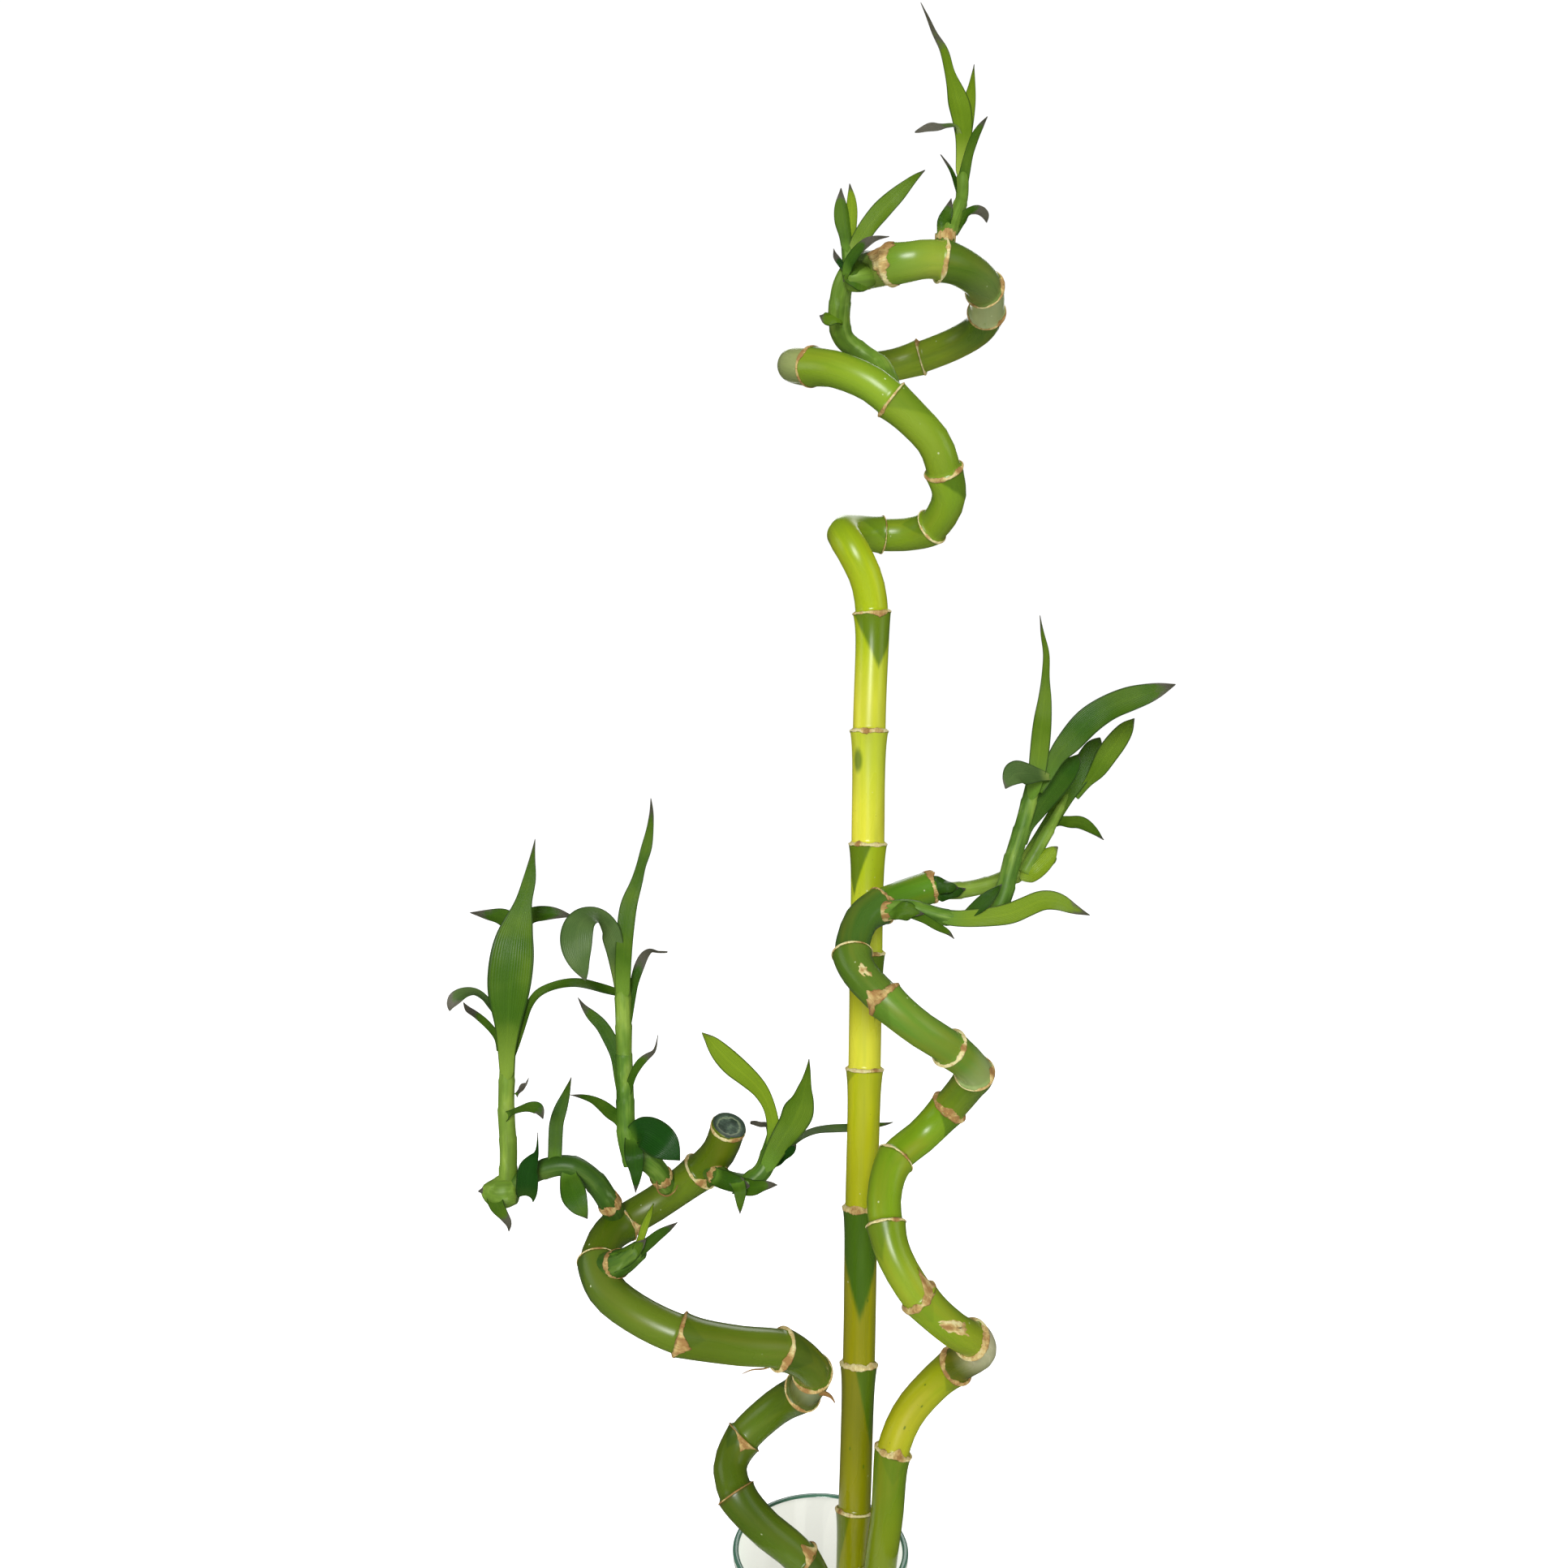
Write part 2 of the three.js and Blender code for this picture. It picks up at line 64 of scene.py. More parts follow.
scene = bpy.context.scene
scene.view_settings.view_transform = "Standard"

camera = bpy.data.cameras.new("camera")
camera.sensor_fit = "HORIZONTAL"
camera.sensor_width = SENSOR_WIDTH
camera.lens = FOCAL_PIXELS / PHOTO_WIDTH * SENSOR_WIDTH
camera.clip_start = 0.01
camera_stand = bpy.data.objects.new("camera", camera)
camera_stand.location = Vector(CAMERA_PLACE) * MM
camera_stand.rotation_euler = (pi / 2, 0, 0)
scene.collection.objects.link(camera_stand)
scene.camera = camera_stand


def soft_light(name, place, size, watts):
    """Hangs a square soft light at a place and turns it to the middle of the plant."""
    lamp = bpy.data.lights.new(name, "AREA")
    lamp.size = size
    lamp.energy = watts
    stand = bpy.data.objects.new(name, lamp)
    stand.location = place
    stand.rotation_euler = (PLANT_MIDDLE - Vector(place)).to_track_quat("-Z", "Y").to_euler()
    stand.visible_camera = False
    scene.collection.objects.link(stand)


soft_light("key_light", (-0.25, -2.3, 1.25), 0.8, 48.0)
soft_light("right_light", (1.5, -0.7, 0.8), 0.8, 2.5)
soft_light("left_light", (-1.6, -0.2, 0.9), 0.8, 2.5)
soft_light("back_light", (0.3, 1.6, 1.5), 1.0, 9.0)


def tone(code):
    """A colour as Blender's nodes take it, from the code that a colour picker shows."""
    parts = [int(code[i:i + 2], 16) / 255 for i in (0, 2, 4)]
    return tuple(p / 12.92 if p <= 0.04045 else ((p + 0.055) / 1.055) ** 2.4 for p in parts) + (1.0,)


def feed(socket, value):
    """Links another node's output to a socket, or sets the socket's own value."""
    if isinstance(value, bpy.types.NodeSocket):
        socket.id_data.links.new(value, socket)
    else:
        socket.default_value = value


def add_node(kind, *values, out=0, **settings):
    """Adds a node to the finish in work and feeds its sockets in their order, passing over those that
    get None. It gives back the output asked for."""
    node = in_work.nodes.new("ShaderNode" + kind)
    for setting, value in settings.items():
        setattr(node, setting, value)
    for socket, value in zip(node.inputs, values):
        if value is not None:
            feed(socket, value)
    return node.outputs[out]


def set_shader(**values):
    """Sets or feeds sockets of the shader of the finish in work, by their names."""
    shader = in_work.nodes["Principled BSDF"]
    for socket, value in values.items():
        feed(shader.inputs[socket.replace("_", " ")], value)


def new_finish(name, **values):
    """Starts a material. The functions below add their nodes to the one that was started last."""
    global in_work
    material = bpy.data.materials.new(name)
    material.use_nodes = True
    in_work = material.node_tree
    set_shader(**values)
    return material


def wear(piece, *skins):
    """Gives a piece its materials."""
    for skin in skins:
        piece.data.materials.append(skin)


def eased(value, low, high, to_low=0.0, to_high=1.0):
    """A value that goes smoothly from one level to another between two bounds."""
    return add_node("MapRange", value, low, high, to_low, to_high, interpolation_type="SMOOTHSTEP")


def mixed(share, first, second, way="MIX"):
    """Two colours mixed by a share. The node's sockets in between are for other kinds of value."""
    between = [None] * 5
    return add_node("Mix", share, *between, first, second, out=2, data_type="RGBA", blend_type=way)


surround = bpy.data.worlds.new("surround")
surround.use_nodes = True
scene.world = surround
in_work = surround.node_tree
ray_is = add_node("LightPath").node.outputs
brightness = SURROUND_LIGHT
for kind, strength in SURROUND_RAYS:
    brightness = add_node("Mix", ray_is[kind], None, brightness, strength)
backdrop = in_work.nodes["Background"]
feed(backdrop.inputs["Color"], WHITE)
feed(backdrop.inputs["Strength"], brightness)


def floor_finish():
    """Pale paper that glows more the further out it lies, so that no edge shows against the surround.
    It glows only straight into the camera, and glossy skins see it as grey."""
    material = new_finish("pale_floor", Roughness=0.8, Specular_IOR_Level=0.1)
    ray_is = add_node("LightPath").node.outputs
    reach = add_node("VectorMath", add_node("TexCoord", out="Object"), out="Value", operation="LENGTH")
    through = mixed(ray_is["Is Transmission Ray"], BLACK, WHITE)
    set_shader(
        Base_Color=mixed(ray_is["Is Glossy Ray"], tone("f4f4f2"), tone("606060")),
        Emission_Color=mixed(ray_is["Is Camera Ray"], through, WHITE),
        Emission_Strength=eased(reach, GLOW_NEAR, GLOW_FAR, FLOOR_GLOW, 1.0)
    )
    return material


bpy.ops.object.select_all(action="DESELECT")
bpy.ops.mesh.primitive_circle_add(vertices=FLOOR_SIDES, radius=FLOOR_RADIUS, fill_type="NGON")
floor = bpy.context.object
floor.name = "floor"
wear(floor, floor_finish())

# Vase
# A clear cylinder of pressed glass, with a thick floor that is pushed up a little below, and a lip
# that flares out and was melted round. The glass has a faint green cast. Where it is seen edge on, a
# painted teal glow and an opaque bottle-green top on the lip stand in for its dark green look.
VASE_RADIUS = 40
VASE_HEIGHT = 200
VASE_WALL = 3.2
VASE_BODY = 38.9
LIP_STEPS = ((193.5, VASE_BODY), (196.5, 39.7), (VASE_HEIGHT, VASE_RADIUS))
LIP_THICKNESS = 2.8
VASE_FLOOR = 9
VASE_SIDES = 256
FOOT_RING = 9
FOOT_PUSH = 1.6
RIM_ROUND = 1.1
RIM_MELT = 0.2
GLASS_IOR = 1.5
GLASS_CAST = 14.0
PAINTED_EDGE_GLOW = 0.16


def fresh_start():
    """Deselects everything, so that the next operator acts on the new primitive alone."""
    if bpy.context.object and bpy.context.object.mode != "OBJECT":
        bpy.ops.object.mode_set(mode="OBJECT")
    bpy.ops.object.select_all(action="DESELECT")


def pick_only(piece):
    """Makes a piece the one that operators act on."""
    fresh_start()
    piece.select_set(True)
    bpy.context.view_layer.objects.active = piece


def choose_faces(piece, wanted):
    """Opens a piece in edit mode with only the wanted faces selected."""
    pick_only(piece)
    bpy.ops.object.mode_set(mode="EDIT")
    bpy.ops.mesh.select_mode(type="FACE")
    bpy.ops.mesh.select_all(action="DESELECT")
    bpy.ops.object.mode_set(mode="OBJECT")
    for face in piece.data.polygons:
        face.select = wanted(face)
    bpy.ops.object.mode_set(mode="EDIT")


def finish_with(piece, kind, **settings):
    """Adds a modifier with these settings and applies it."""
    pick_only(piece)
    modifier = piece.modifiers.new(kind.lower(), kind)
    for setting, value in settings.items():
        setattr(modifier, setting, value)
    bpy.ops.object.modifier_apply(modifier=modifier.name)


def step_to(height, last_height, radius, last_radius):
    """Carries the selected round face to another height and radius."""
    bpy.ops.mesh.extrude_region_move(TRANSFORM_OT_translate={"value": (0, 0, (height - last_height) * MM)})
    wider = radius / last_radius
    bpy.ops.transform.resize(value=(wider, wider, 1), center_override=(0, 0, height * MM))


fresh_start()
body_top = LIP_STEPS[0][0]
bpy.ops.mesh.primitive_cylinder_add(
    vertices=VASE_SIDES, radius=VASE_BODY * MM, depth=body_top * MM, location=(0, 0, body_top / 2 * MM)
)
vase = bpy.context.object
vase.name = "glass_vase"
bpy.ops.object.transform_apply(location=True)
choose_faces(vase, lambda face: face.normal.z > 0.9)
for (last_height, last_radius), (height, radius) in zip(LIP_STEPS, LIP_STEPS[1:]):
    step_to(height, last_height, radius, last_radius)
bpy.ops.mesh.inset(thickness=LIP_THICKNESS * MM)
bore = VASE_RADIUS - VASE_WALL
lip_bore = VASE_RADIUS - LIP_THICKNESS
step_to(LIP_STEPS[1][0], VASE_HEIGHT, lip_bore - RIM_MELT, lip_bore)
step_to(body_top, LIP_STEPS[1][0], bore, lip_bore - RIM_MELT)
step_to(VASE_FLOOR, body_top, bore, bore)
choose_faces(vase, lambda face: face.normal.z < -0.9)
bpy.ops.mesh.inset(thickness=FOOT_RING * MM)
bpy.ops.mesh.inset(thickness=FOOT_RING * MM, depth=-FOOT_PUSH * MM)
fresh_start()
finish_with(vase, "BEVEL", width=RIM_ROUND * MM, segments=5, limit_method="ANGLE", angle_limit=radians(50))
bpy.ops.object.shade_smooth_by_angle(angle=radians(35))
# Painted light: the clear glass glows faint teal where it is seen edge on.
clear_glass = new_finish(
    "green_cast_glass", Base_Color=tone("f4f4ea"), Roughness=0.0, IOR=GLASS_IOR, Transmission_Weight=1.0,
    Emission_Color=tone("7a9a86")
)
green_cast = add_node("VolumeAbsorption", tone("69ab82"), GLASS_CAST)
feed(in_work.nodes["Material Output"].inputs["Volume"], green_cast)
painted_glow_facing = add_node("LayerWeight", out="Facing")
set_shader(Emission_Strength=eased(painted_glow_facing, 0.3, 1.0, 0.0, PAINTED_EDGE_GLOW))
# Painted shade: the top of the lip is an opaque bottle green, on the glass's own green cast, standing in
# for the dark look of the glass seen edge on.
painted_lip_glass = new_finish("painted_shade_bottle_green_lip", Base_Color=tone("54806a"), Roughness=0.12, IOR=GLASS_IOR)
wear(vase, clear_glass, painted_lip_glass)
for face in vase.data.polygons:
    if face.center.z > (VASE_HEIGHT - RIM_ROUND * 0.6) * MM:
        face.material_index = 1
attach(vase, "root")
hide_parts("vase")

# Water
# Still water that covers the feet of the canes. It climbs a little where it meets the glass.
WATER_LEVEL = 118
WATER_RADIUS = VASE_RADIUS - VASE_WALL + 0.05
CLIMB_WIDTH = 2.2
CLIMB_HEIGHT = 1.3
CLIMB_STEPS = ((0.12, 0.42), (0.2, 0.3), (0.28, 0.2), (0.4, 0.08))
WATER_IOR = 1.333

fresh_start()
water_depth = WATER_LEVEL + CLIMB_HEIGHT - VASE_FLOOR
bpy.ops.mesh.primitive_cylinder_add(
    vertices=VASE_SIDES, radius=WATER_RADIUS * MM, depth=water_depth * MM,
    location=(0, 0, (VASE_FLOOR + water_depth / 2) * MM)
)
water = bpy.context.object
water.name = "vase_water"
bpy.ops.object.transform_apply(location=True)
choose_faces(water, lambda face: face.normal.z > 0.9)
for share_in, share_down in CLIMB_STEPS:
    bpy.ops.mesh.inset(thickness=CLIMB_WIDTH * share_in * MM, depth=-CLIMB_HEIGHT * share_down * MM)
fresh_start()
pick_only(water)
bpy.ops.object.shade_smooth_by_angle(angle=radians(60))
still_water = new_finish(
    "still_water", Base_Color=tone("f2faf4"), Roughness=0.0, IOR=WATER_IOR, Transmission_Weight=1.0
)
wear(water, still_water)
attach(water, "root")
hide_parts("water")

# Canes
# Three green canes, each a jointed pole that was trained round while it was young. A dry papery
# ring is left at every joint where a leaf once sat, with a dark wedge of sheath below some of them.
RING_PROUD = 1.3
RING_FLARE = 7.0
RING_LIP = 1.1
SWELL_REACH = 30
RING_OFFSETS = (-14, -10, -7, -5, -3.2, -1.8, -0.8, -0.2, 0.25, 0.7, 1.3, 2.4, 4.5)
POLE_STEP = 6.0
STATION_GAP = 1.2
FOOT_ROUND = 0.6
POLE_SIDES = 40
MERGE_REACH = 1e-6
COURSE_STEP = 2.0
WOBBLE = 0.018
CUT_RIM = 0.8
CUT_DEPTH = 0.5
LEAN_REACH = 9.0
SPOT_STRETCH = 0.45
TINT_BLEND = 0.25
BAND_SIDES = 72
BAND_ROWS = 7
BAND_LIFT = 0.1
BAND_THICKNESS = 0.16
BAND_PITCH = 0.1
BAND_CLEARANCE = 0.03
BAND_WAVES = 1.7
BAND_FRAYS = 6.0
THINNEST_BAND = 0.35
RAG_SHARPNESS = 1.3
SCAR_SIDES = 28
SCAR_INSETS = (0.16, 0.2, 0.24)
SCAR_CORE = Vector((0.14, -0.1, 0.0))
SCAR_CORE_REACH = 0.66
SCAR_BROWN = 1.1
SCAR_TORN = 0.8
SCAR_DOME = 0.28
SCAR_SUNK = 0.1
SCAR_ROUGH = 0.16
STRAND_STEPS = 12
THREAD_SIDES = 8
NO_WEDGE = (8, 1.0, 0.0, 0.0)
BELOW_NO_RING = 40.0
WEDGE_RANGES = ((9, 20), (0.7, 1.6), (-3, 3), (0.25, 0.7))
CUT_PROFILE = ((0.0, 1.2), (0.05, 0.5), (0.3, 0.0), (CUT_RIM, 0.05), (CUT_RIM + 0.4, CUT_DEPTH))
CUT_RING = 0.0052
CUT_SKIN_DEPTH = 0.6
CUT_SKIN_INSET = 0.2


def smooth_course(way):
    """A smooth line through way points in millimetres, in steps, and how far along it each one lies."""
    way = [Vector(point) * MM for point in way]
    points = [way[0]]
    reached = [0.0]
    marks = [0.0]
    for i, (start, end) in enumerate(zip(way, way[1:])):
        before = way[i - 1] if i else start * 2 - end
        after = way[i + 2] if i + 2 < len(way) else end * 2 - start
        gap_in = sqrt((start - before).length)
        gap = sqrt((end - start).length)
        gap_out = sqrt((after - end).length)
        leave = ((start - before) / gap_in - (end - before) / (gap_in + gap) + (end - start) / gap) * gap
        arrive = ((end - start) / gap - (after - start) / (gap + gap_out) + (after - end) / gap_out) * gap
        steps = max(3, ceil((end - start).length / (COURSE_STEP * MM)))
        for step in range(1, steps + 1):
            u = step / steps
            point = (
                start * (2 * u ** 3 - 3 * u ** 2 + 1) + leave * (u ** 3 - 2 * u ** 2 + u)
                + end * (3 * u ** 2 - 2 * u ** 3) + arrive * (u ** 3 - u ** 2)
            )
            reached.append(reached[-1] + (point.to_3d() - points[-1].to_3d()).length)
            points.append(point)
        marks.append(reached[-1])
    return points, reached, marks


def along_course(course, distance):
    """The point of a course at a distance along it."""
    points, reached, _ = course
    for i in range(1, len(points)):
        if reached[i] >= distance or i == len(points) - 1:
            share = (distance - reached[i - 1]) / (reached[i] - reached[i - 1])
            return points[i - 1].lerp(points[i], min(max(share, 0.0), 1.0))


def turned_pole(name, profile, sides):
    """A round pole turned from (radius, height) pairs in metres, closed where the radius is nothing."""
    line = bpy.data.meshes.new(name)
    line.from_pydata([(r, 0, z) for r, z in profile], [(i, i + 1) for i in range(len(profile) - 1)], [])
    pole = bpy.data.objects.new(name, line)
    scene.collection.objects.link(pole)
    finish_with(
        pole, "SCREW", steps=sides, render_steps=sides, use_merge_vertices=True, merge_threshold=MERGE_REACH
    )
    bpy.ops.object.mode_set(mode="EDIT")
    bpy.ops.mesh.select_all(action="SELECT")
    bpy.ops.mesh.normals_make_consistent(inside=False)
    bpy.ops.object.mode_set(mode="OBJECT")
    bpy.ops.object.shade_smooth()
    return pole


def bend_along(piece, course):
    """Bends an upright piece along a course, as a cane is bent while it grows."""
    line = bpy.data.curves.new("course", "CURVE")
    line.dimensions = "3D"
    line.twist_mode = "MINIMUM"
    run = line.splines.new("POLY")
    run.points.add(len(course[0]) - 1)
    for knot, point in zip(run.points, course[0]):
        knot.co = (point[0], point[1], point[2], 1.0)
    guide = bpy.data.objects.new("course", line)
    scene.collection.objects.link(guide)
    finish_with(piece, "CURVE", object=guide, deform_axis="POS_Z")
    bpy.data.objects.remove(guide)


def sides_to_camera(course, distances):
    """For each distance, the angle round the upright pole that will face the camera, and whether the
    angle grows to the camera's right (1) or left (-1)."""
    if not distances:
        return []
    arms = bpy.data.meshes.new("arms")
    spots = [spot for z in distances for spot in ((0, 0, z * MM), (MM, 0, z * MM), (0, MM, z * MM))]
    arms.from_pydata(spots, [(i, i + 1) for i in range(len(spots) - 1)], [])
    probe = bpy.data.objects.new("arms", arms)
    scene.collection.objects.link(probe)
    bend_along(probe, course)
    found = []
    for i in range(len(distances)):
        middle, arm_x, arm_y = (arms.vertices[3 * i + k].co.copy() for k in range(3))
        to_camera = camera_stand.location - middle
        front = atan2(to_camera.dot(arm_y - middle), to_camera.dot(arm_x - middle))
        right = atan2((arm_y - middle).x, (arm_x - middle).x)
        found.append((front, 1 if sin(right - front) > 0 else -1))
    bpy.data.objects.remove(probe)
    return found


def keep(piece, name, values):
    """Writes a vector for each vertex, which the piece's finish reads."""
    layer = piece.data.attributes.get(name) or piece.data.attributes.new(name, "FLOAT_VECTOR", "POINT")
    layer.data.foreach_set("vector", [number for value in values for number in value])


def join(pieces, name):
    """Joins pieces into one."""
    pick_only(pieces[0])
    for piece in pieces:
        piece.select_set(True)
    bpy.ops.object.join()
    pieces[0].name = name
    return pieces[0]


def cane_radius(distance, rings, radii, length):
    """The cane's radius in millimetres: it swells below each ring and is drawn in just above it."""
    radius = radii[0] + (radii[1] - radii[0]) * distance / length
    for ring in rings:
        gap = distance - ring
        if -SWELL_REACH < gap <= 0:
            radius += RING_PROUD * exp(gap / RING_FLARE)
        elif 0 < gap < RING_LIP:
            radius += RING_PROUD * (1 - gap / RING_LIP)
    return radius


def dry_band(ring, radius_at, look, front, right, seed):
    """The scar at a ring: a thin uneven line, and where a rag of the old leaf is left, a torn triangle.
    Its look is (width, brownness, rag height, rag's place, rag's half width)."""
    width, brown, peak, place, spread = look
    rows = [(radius_at(ring) * MM, (ring + row * BAND_PITCH) * MM) for row in range(BAND_ROWS)]
    band = turned_pole("dry_band", rows, BAND_SIDES)
    dryness = []
    for vertex in band.data.vertices:
        row = round((vertex.co.z / MM - ring) / BAND_PITCH) / (BAND_ROWS - 1)
        angle = atan2(vertex.co.y, vertex.co.x)
        here = Vector((cos(angle) * 1.6, sin(angle) * 1.6, seed))
        uneven = noise.noise(here * BAND_WAVES)
        fray = noise.noise(here * BAND_FRAYS)
        away = abs((angle - front - right * place + pi) % tau - pi)
        share = max(0.0, 1 - away / spread) ** RAG_SHARPNESS
        tear = abs(peak) * share * (1 + 0.25 * fray)
        half = width / 2 * max(THINNEST_BAND, 1 + uneven + 0.5 * fray)
        lower = -half - (tear if peak < 0 else 0.0)
        upper = half + (tear if peak > 0 else 0.0)
        height = ring + lower + (upper - lower) * row
        bulge = BAND_LIFT * (1 + share) * sin(pi * row) + 0.08 * fray * share
        radius = radius_at(height) + BAND_CLEARANCE + max(0.0, bulge)
        vertex.co = Vector((radius * cos(angle), radius * sin(angle), height)) * MM
        dryness.append((min(1.0, max(0.0, brown + 0.5 * uneven + share * (1 - brown))), row, share))
    keep(band, "dryness", dryness)
    finish_with(band, "SOLIDIFY", thickness=BAND_THICKNESS * MM, offset=1.0)
    wear(band, papery)
    return band


def scar(distance, angle, radius_at, tall, wide, slant, seed):
    """A small torn scar on a cane, raised a little from its skin and browner off its middle."""
    fresh_start()
    bpy.ops.mesh.primitive_circle_add(vertices=SCAR_SIDES, radius=1.0, fill_type="NGON")
    patch = bpy.context.object
    patch.name = "scar"
    bpy.ops.object.mode_set(mode="EDIT")
    for inset in SCAR_INSETS:
        bpy.ops.mesh.inset(thickness=inset)
    bpy.ops.mesh.poke()
    bpy.ops.object.mode_set(mode="OBJECT")
    dryness = []
    for vertex in patch.data.vertices:
        reach = vertex.co.length
        off_core = (vertex.co - SCAR_CORE).length / SCAR_CORE_REACH
        dryness.append((SCAR_BROWN * abs(1 - off_core) ** 0.7, 0.5, 1.0))
        torn = 1 + SCAR_TORN * noise.noise(Vector((vertex.co.x * 2.2, vertex.co.y * 2.2, seed)))
        along = vertex.co.x * tall / 2 * torn
        round_by = vertex.co.y * wide / 2 * torn + slant * along
        radius = radius_at(distance + along)
        rough = SCAR_ROUGH * noise.noise(Vector((along, round_by, seed)) * 0.9)
        lift = SCAR_DOME * (1 - reach ** 2) - SCAR_SUNK + rough
        turn = angle + round_by / radius
        radius += lift
        vertex.co = Vector((radius * cos(turn), radius * sin(turn), distance + along)) * MM
    keep(patch, "dryness", dryness)
    bpy.ops.object.shade_smooth()
    wear(patch, papery)
    return patch


def thread(name, way, skin, steps, tip, shift):
    """A thin tapered thread along its way points, and the shift that its pattern is taken from."""
    course = smooth_course(way)
    length = course[1][-1]
    profile = [(0.0, 0.0)]
    profile += [(along_course(course, length * i / steps).w, length * i / steps) for i in range(steps + 1)]
    piece = turned_pole(name, profile + [(0.0, length + tip * MM)], THREAD_SIDES)
    keep(piece, "straight", [vertex.co + Vector((0, 0, shift)) for vertex in piece.data.vertices])
    wear(piece, skin)
    bend_along(piece, course)
    return piece


def dry_strand(way, seed):
    """A loose dry fibre of an old leaf."""
    strand = thread("dry_strand", way, papery, STRAND_STEPS, 0.1, seed)
    keep(strand, "dryness", [(1.0, 0.0, 1.0)] * len(strand.data.vertices))
    return strand


def math_of(operation, *values):
    """A sum of one to three numbers or outputs."""
    return add_node("Math", *values, operation=operation)


def nudged(value, by_noise, amount):
    """A value moved up and down by a noise, whose middle is a half."""
    return math_of("MULTIPLY_ADD", math_of("SUBTRACT", by_noise, 0.5), amount, value)


def over(colour, other, value, low, high, share=1.0):
    """A colour with a share of another one laid over it where a value goes from low to high."""
    return mixed(eased(value, low, high, 0.0, share), colour, other)


def scaled(colour, red, green, blue):
    """A colour made brighter or darker."""
    return mixed(1.0, colour, (red, green, blue, 1), "MULTIPLY")


def ramped(value, *stops):
    """A run of colours, from places and the codes of their colours."""
    output = add_node("ValToRGB", value)
    ramp = output.node.color_ramp.elements
    while len(ramp) < len(stops):
        ramp.new(0.5)
    for stop, (place, code) in zip(ramp, stops):
        stop.position = place
        stop.color = tone(code)
    return output


def kept(name):
    """The vector that keep wrote for this piece."""
    return add_node("Attribute", out="Vector", attribute_name=name)


def kept_numbers(name):
    """The three numbers that keep wrote for this piece."""
    return add_node("SeparateXYZ", kept(name)).node.outputs


def grain(vector, scale, detail=2.0, rough=0.5):
    """Noise from a vector that is stretched by three scales."""
    stretched = add_node("VectorMath", vector, scale, operation="MULTIPLY")
    return add_node("TexNoise", stretched, None, 1.0, detail, rough)


def specks(vector, scale, low, high):
    """Small spots: 1 in their middle, 0 outside."""
    return eased(add_node("TexVoronoi", vector, None, scale), high, low)


def relief(height, depth):
    """Raises the surface by a height, in metres."""
    return add_node("Bump", 1.0, depth, None, height)


def cane_skin(name, wedge_code, olive_code, blotch_share, spots):
    """The waxy skin of a cane: its tint, fine lines, blotches, dark wedges and a few dark spots, with
    painted shadow just below each ring and pale specks painted as the glints of water drops.
    """
    material = new_finish(name, Specular_IOR_Level=0.42)
    wedge_tone = tone(wedge_code)
    straight = kept("straight")
    below, turn_sine, turn_cosine = kept_numbers("marks")
    reach_down, reach_round, strength = kept_numbers("wedge")
    lines = grain(straight, (1100, 1100, 14), 3.0, 0.6)
    clouds = grain(straight, (120, 120, 22))
    wash = grain(straight, (45, 45, 9), 1.0)
    streaks = grain(straight, (330, 330, 16))

    skin = over(kept("tint"), tone(olive_code), clouds, 0.42, 0.72, blotch_share)
    lighter = scaled(skin, 1.15, 1.12, 1.1)
    darker = scaled(skin, 0.78, 0.88, 0.7)
    skin = over(darker, lighter, wash, 0.35, 0.7)
    skin = over(skin, darker, lines, 0.5, 0.75, 0.18)
    skin = over(skin, darker, streaks, 0.52, 0.7, 0.4)
    skin = over(skin, lighter, streaks, 0.45, 0.3, 0.35)

    away = math_of("ABSOLUTE", math_of("ARCTAN2", turn_sine, turn_cosine))
    reach = math_of("ADD", math_of("DIVIDE", below, reach_down), math_of("DIVIDE", away, reach_round))
    reach = nudged(nudged(reach, lines, 0.12), wash, 0.35)
    wedge = math_of("MULTIPLY", eased(reach, 1.08, 0.9), strength)
    bloomed = scaled(wedge_tone, 1.5, 1.4, 1.5)
    skin = mixed(wedge, skin, over(wedge_tone, bloomed, clouds, 0.45, 0.7, 0.8))

    # Painted shadow: a dark olive line just below each ring, where the ring's proud lip shades the skin.
    skin = over(skin, tone("4c4a16"), below, 0.0014, 0.0004, 0.55)
    few = eased(grain(straight, (160, 160, 70), 1.0), 0.58, 0.64)
    fleck = math_of("MULTIPLY", specks(straight, 420.0, 0.05, 0.1), few)
    skin = mixed(fleck, skin, tone("6d6a2a"))
    squeezed = add_node("VectorMath", straight, (1.0, 1.0, SPOT_STRETCH), operation="MULTIPLY")
    for place, size in spots:
        middle = (place.x, place.y, place.z * SPOT_STRETCH)
        away = add_node("VectorMath", squeezed, middle, out="Value", operation="DISTANCE")
        skin = over(skin, wedge_tone, away, size * MM, size * 0.4 * MM, 0.75)
    # Painted highlights: a few pale specks stand in for the glints of small water drops on the skin.
    glint_share = eased(grain(straight, (90, 90, 50), 1.0), 0.6, 0.64, 0.0, 0.6)
    painted_drop_glint = math_of("MULTIPLY", specks(straight, 230.0, 0.06, 0.12), glint_share)
    skin = mixed(painted_drop_glint, skin, tone("e4ecc0"))
    rough = eased(clouds, 0.3, 0.7, 0.24, 0.36)
    set_shader(Base_Color=skin, Roughness=rough, Normal=relief(lines, 0.00002))
    return material


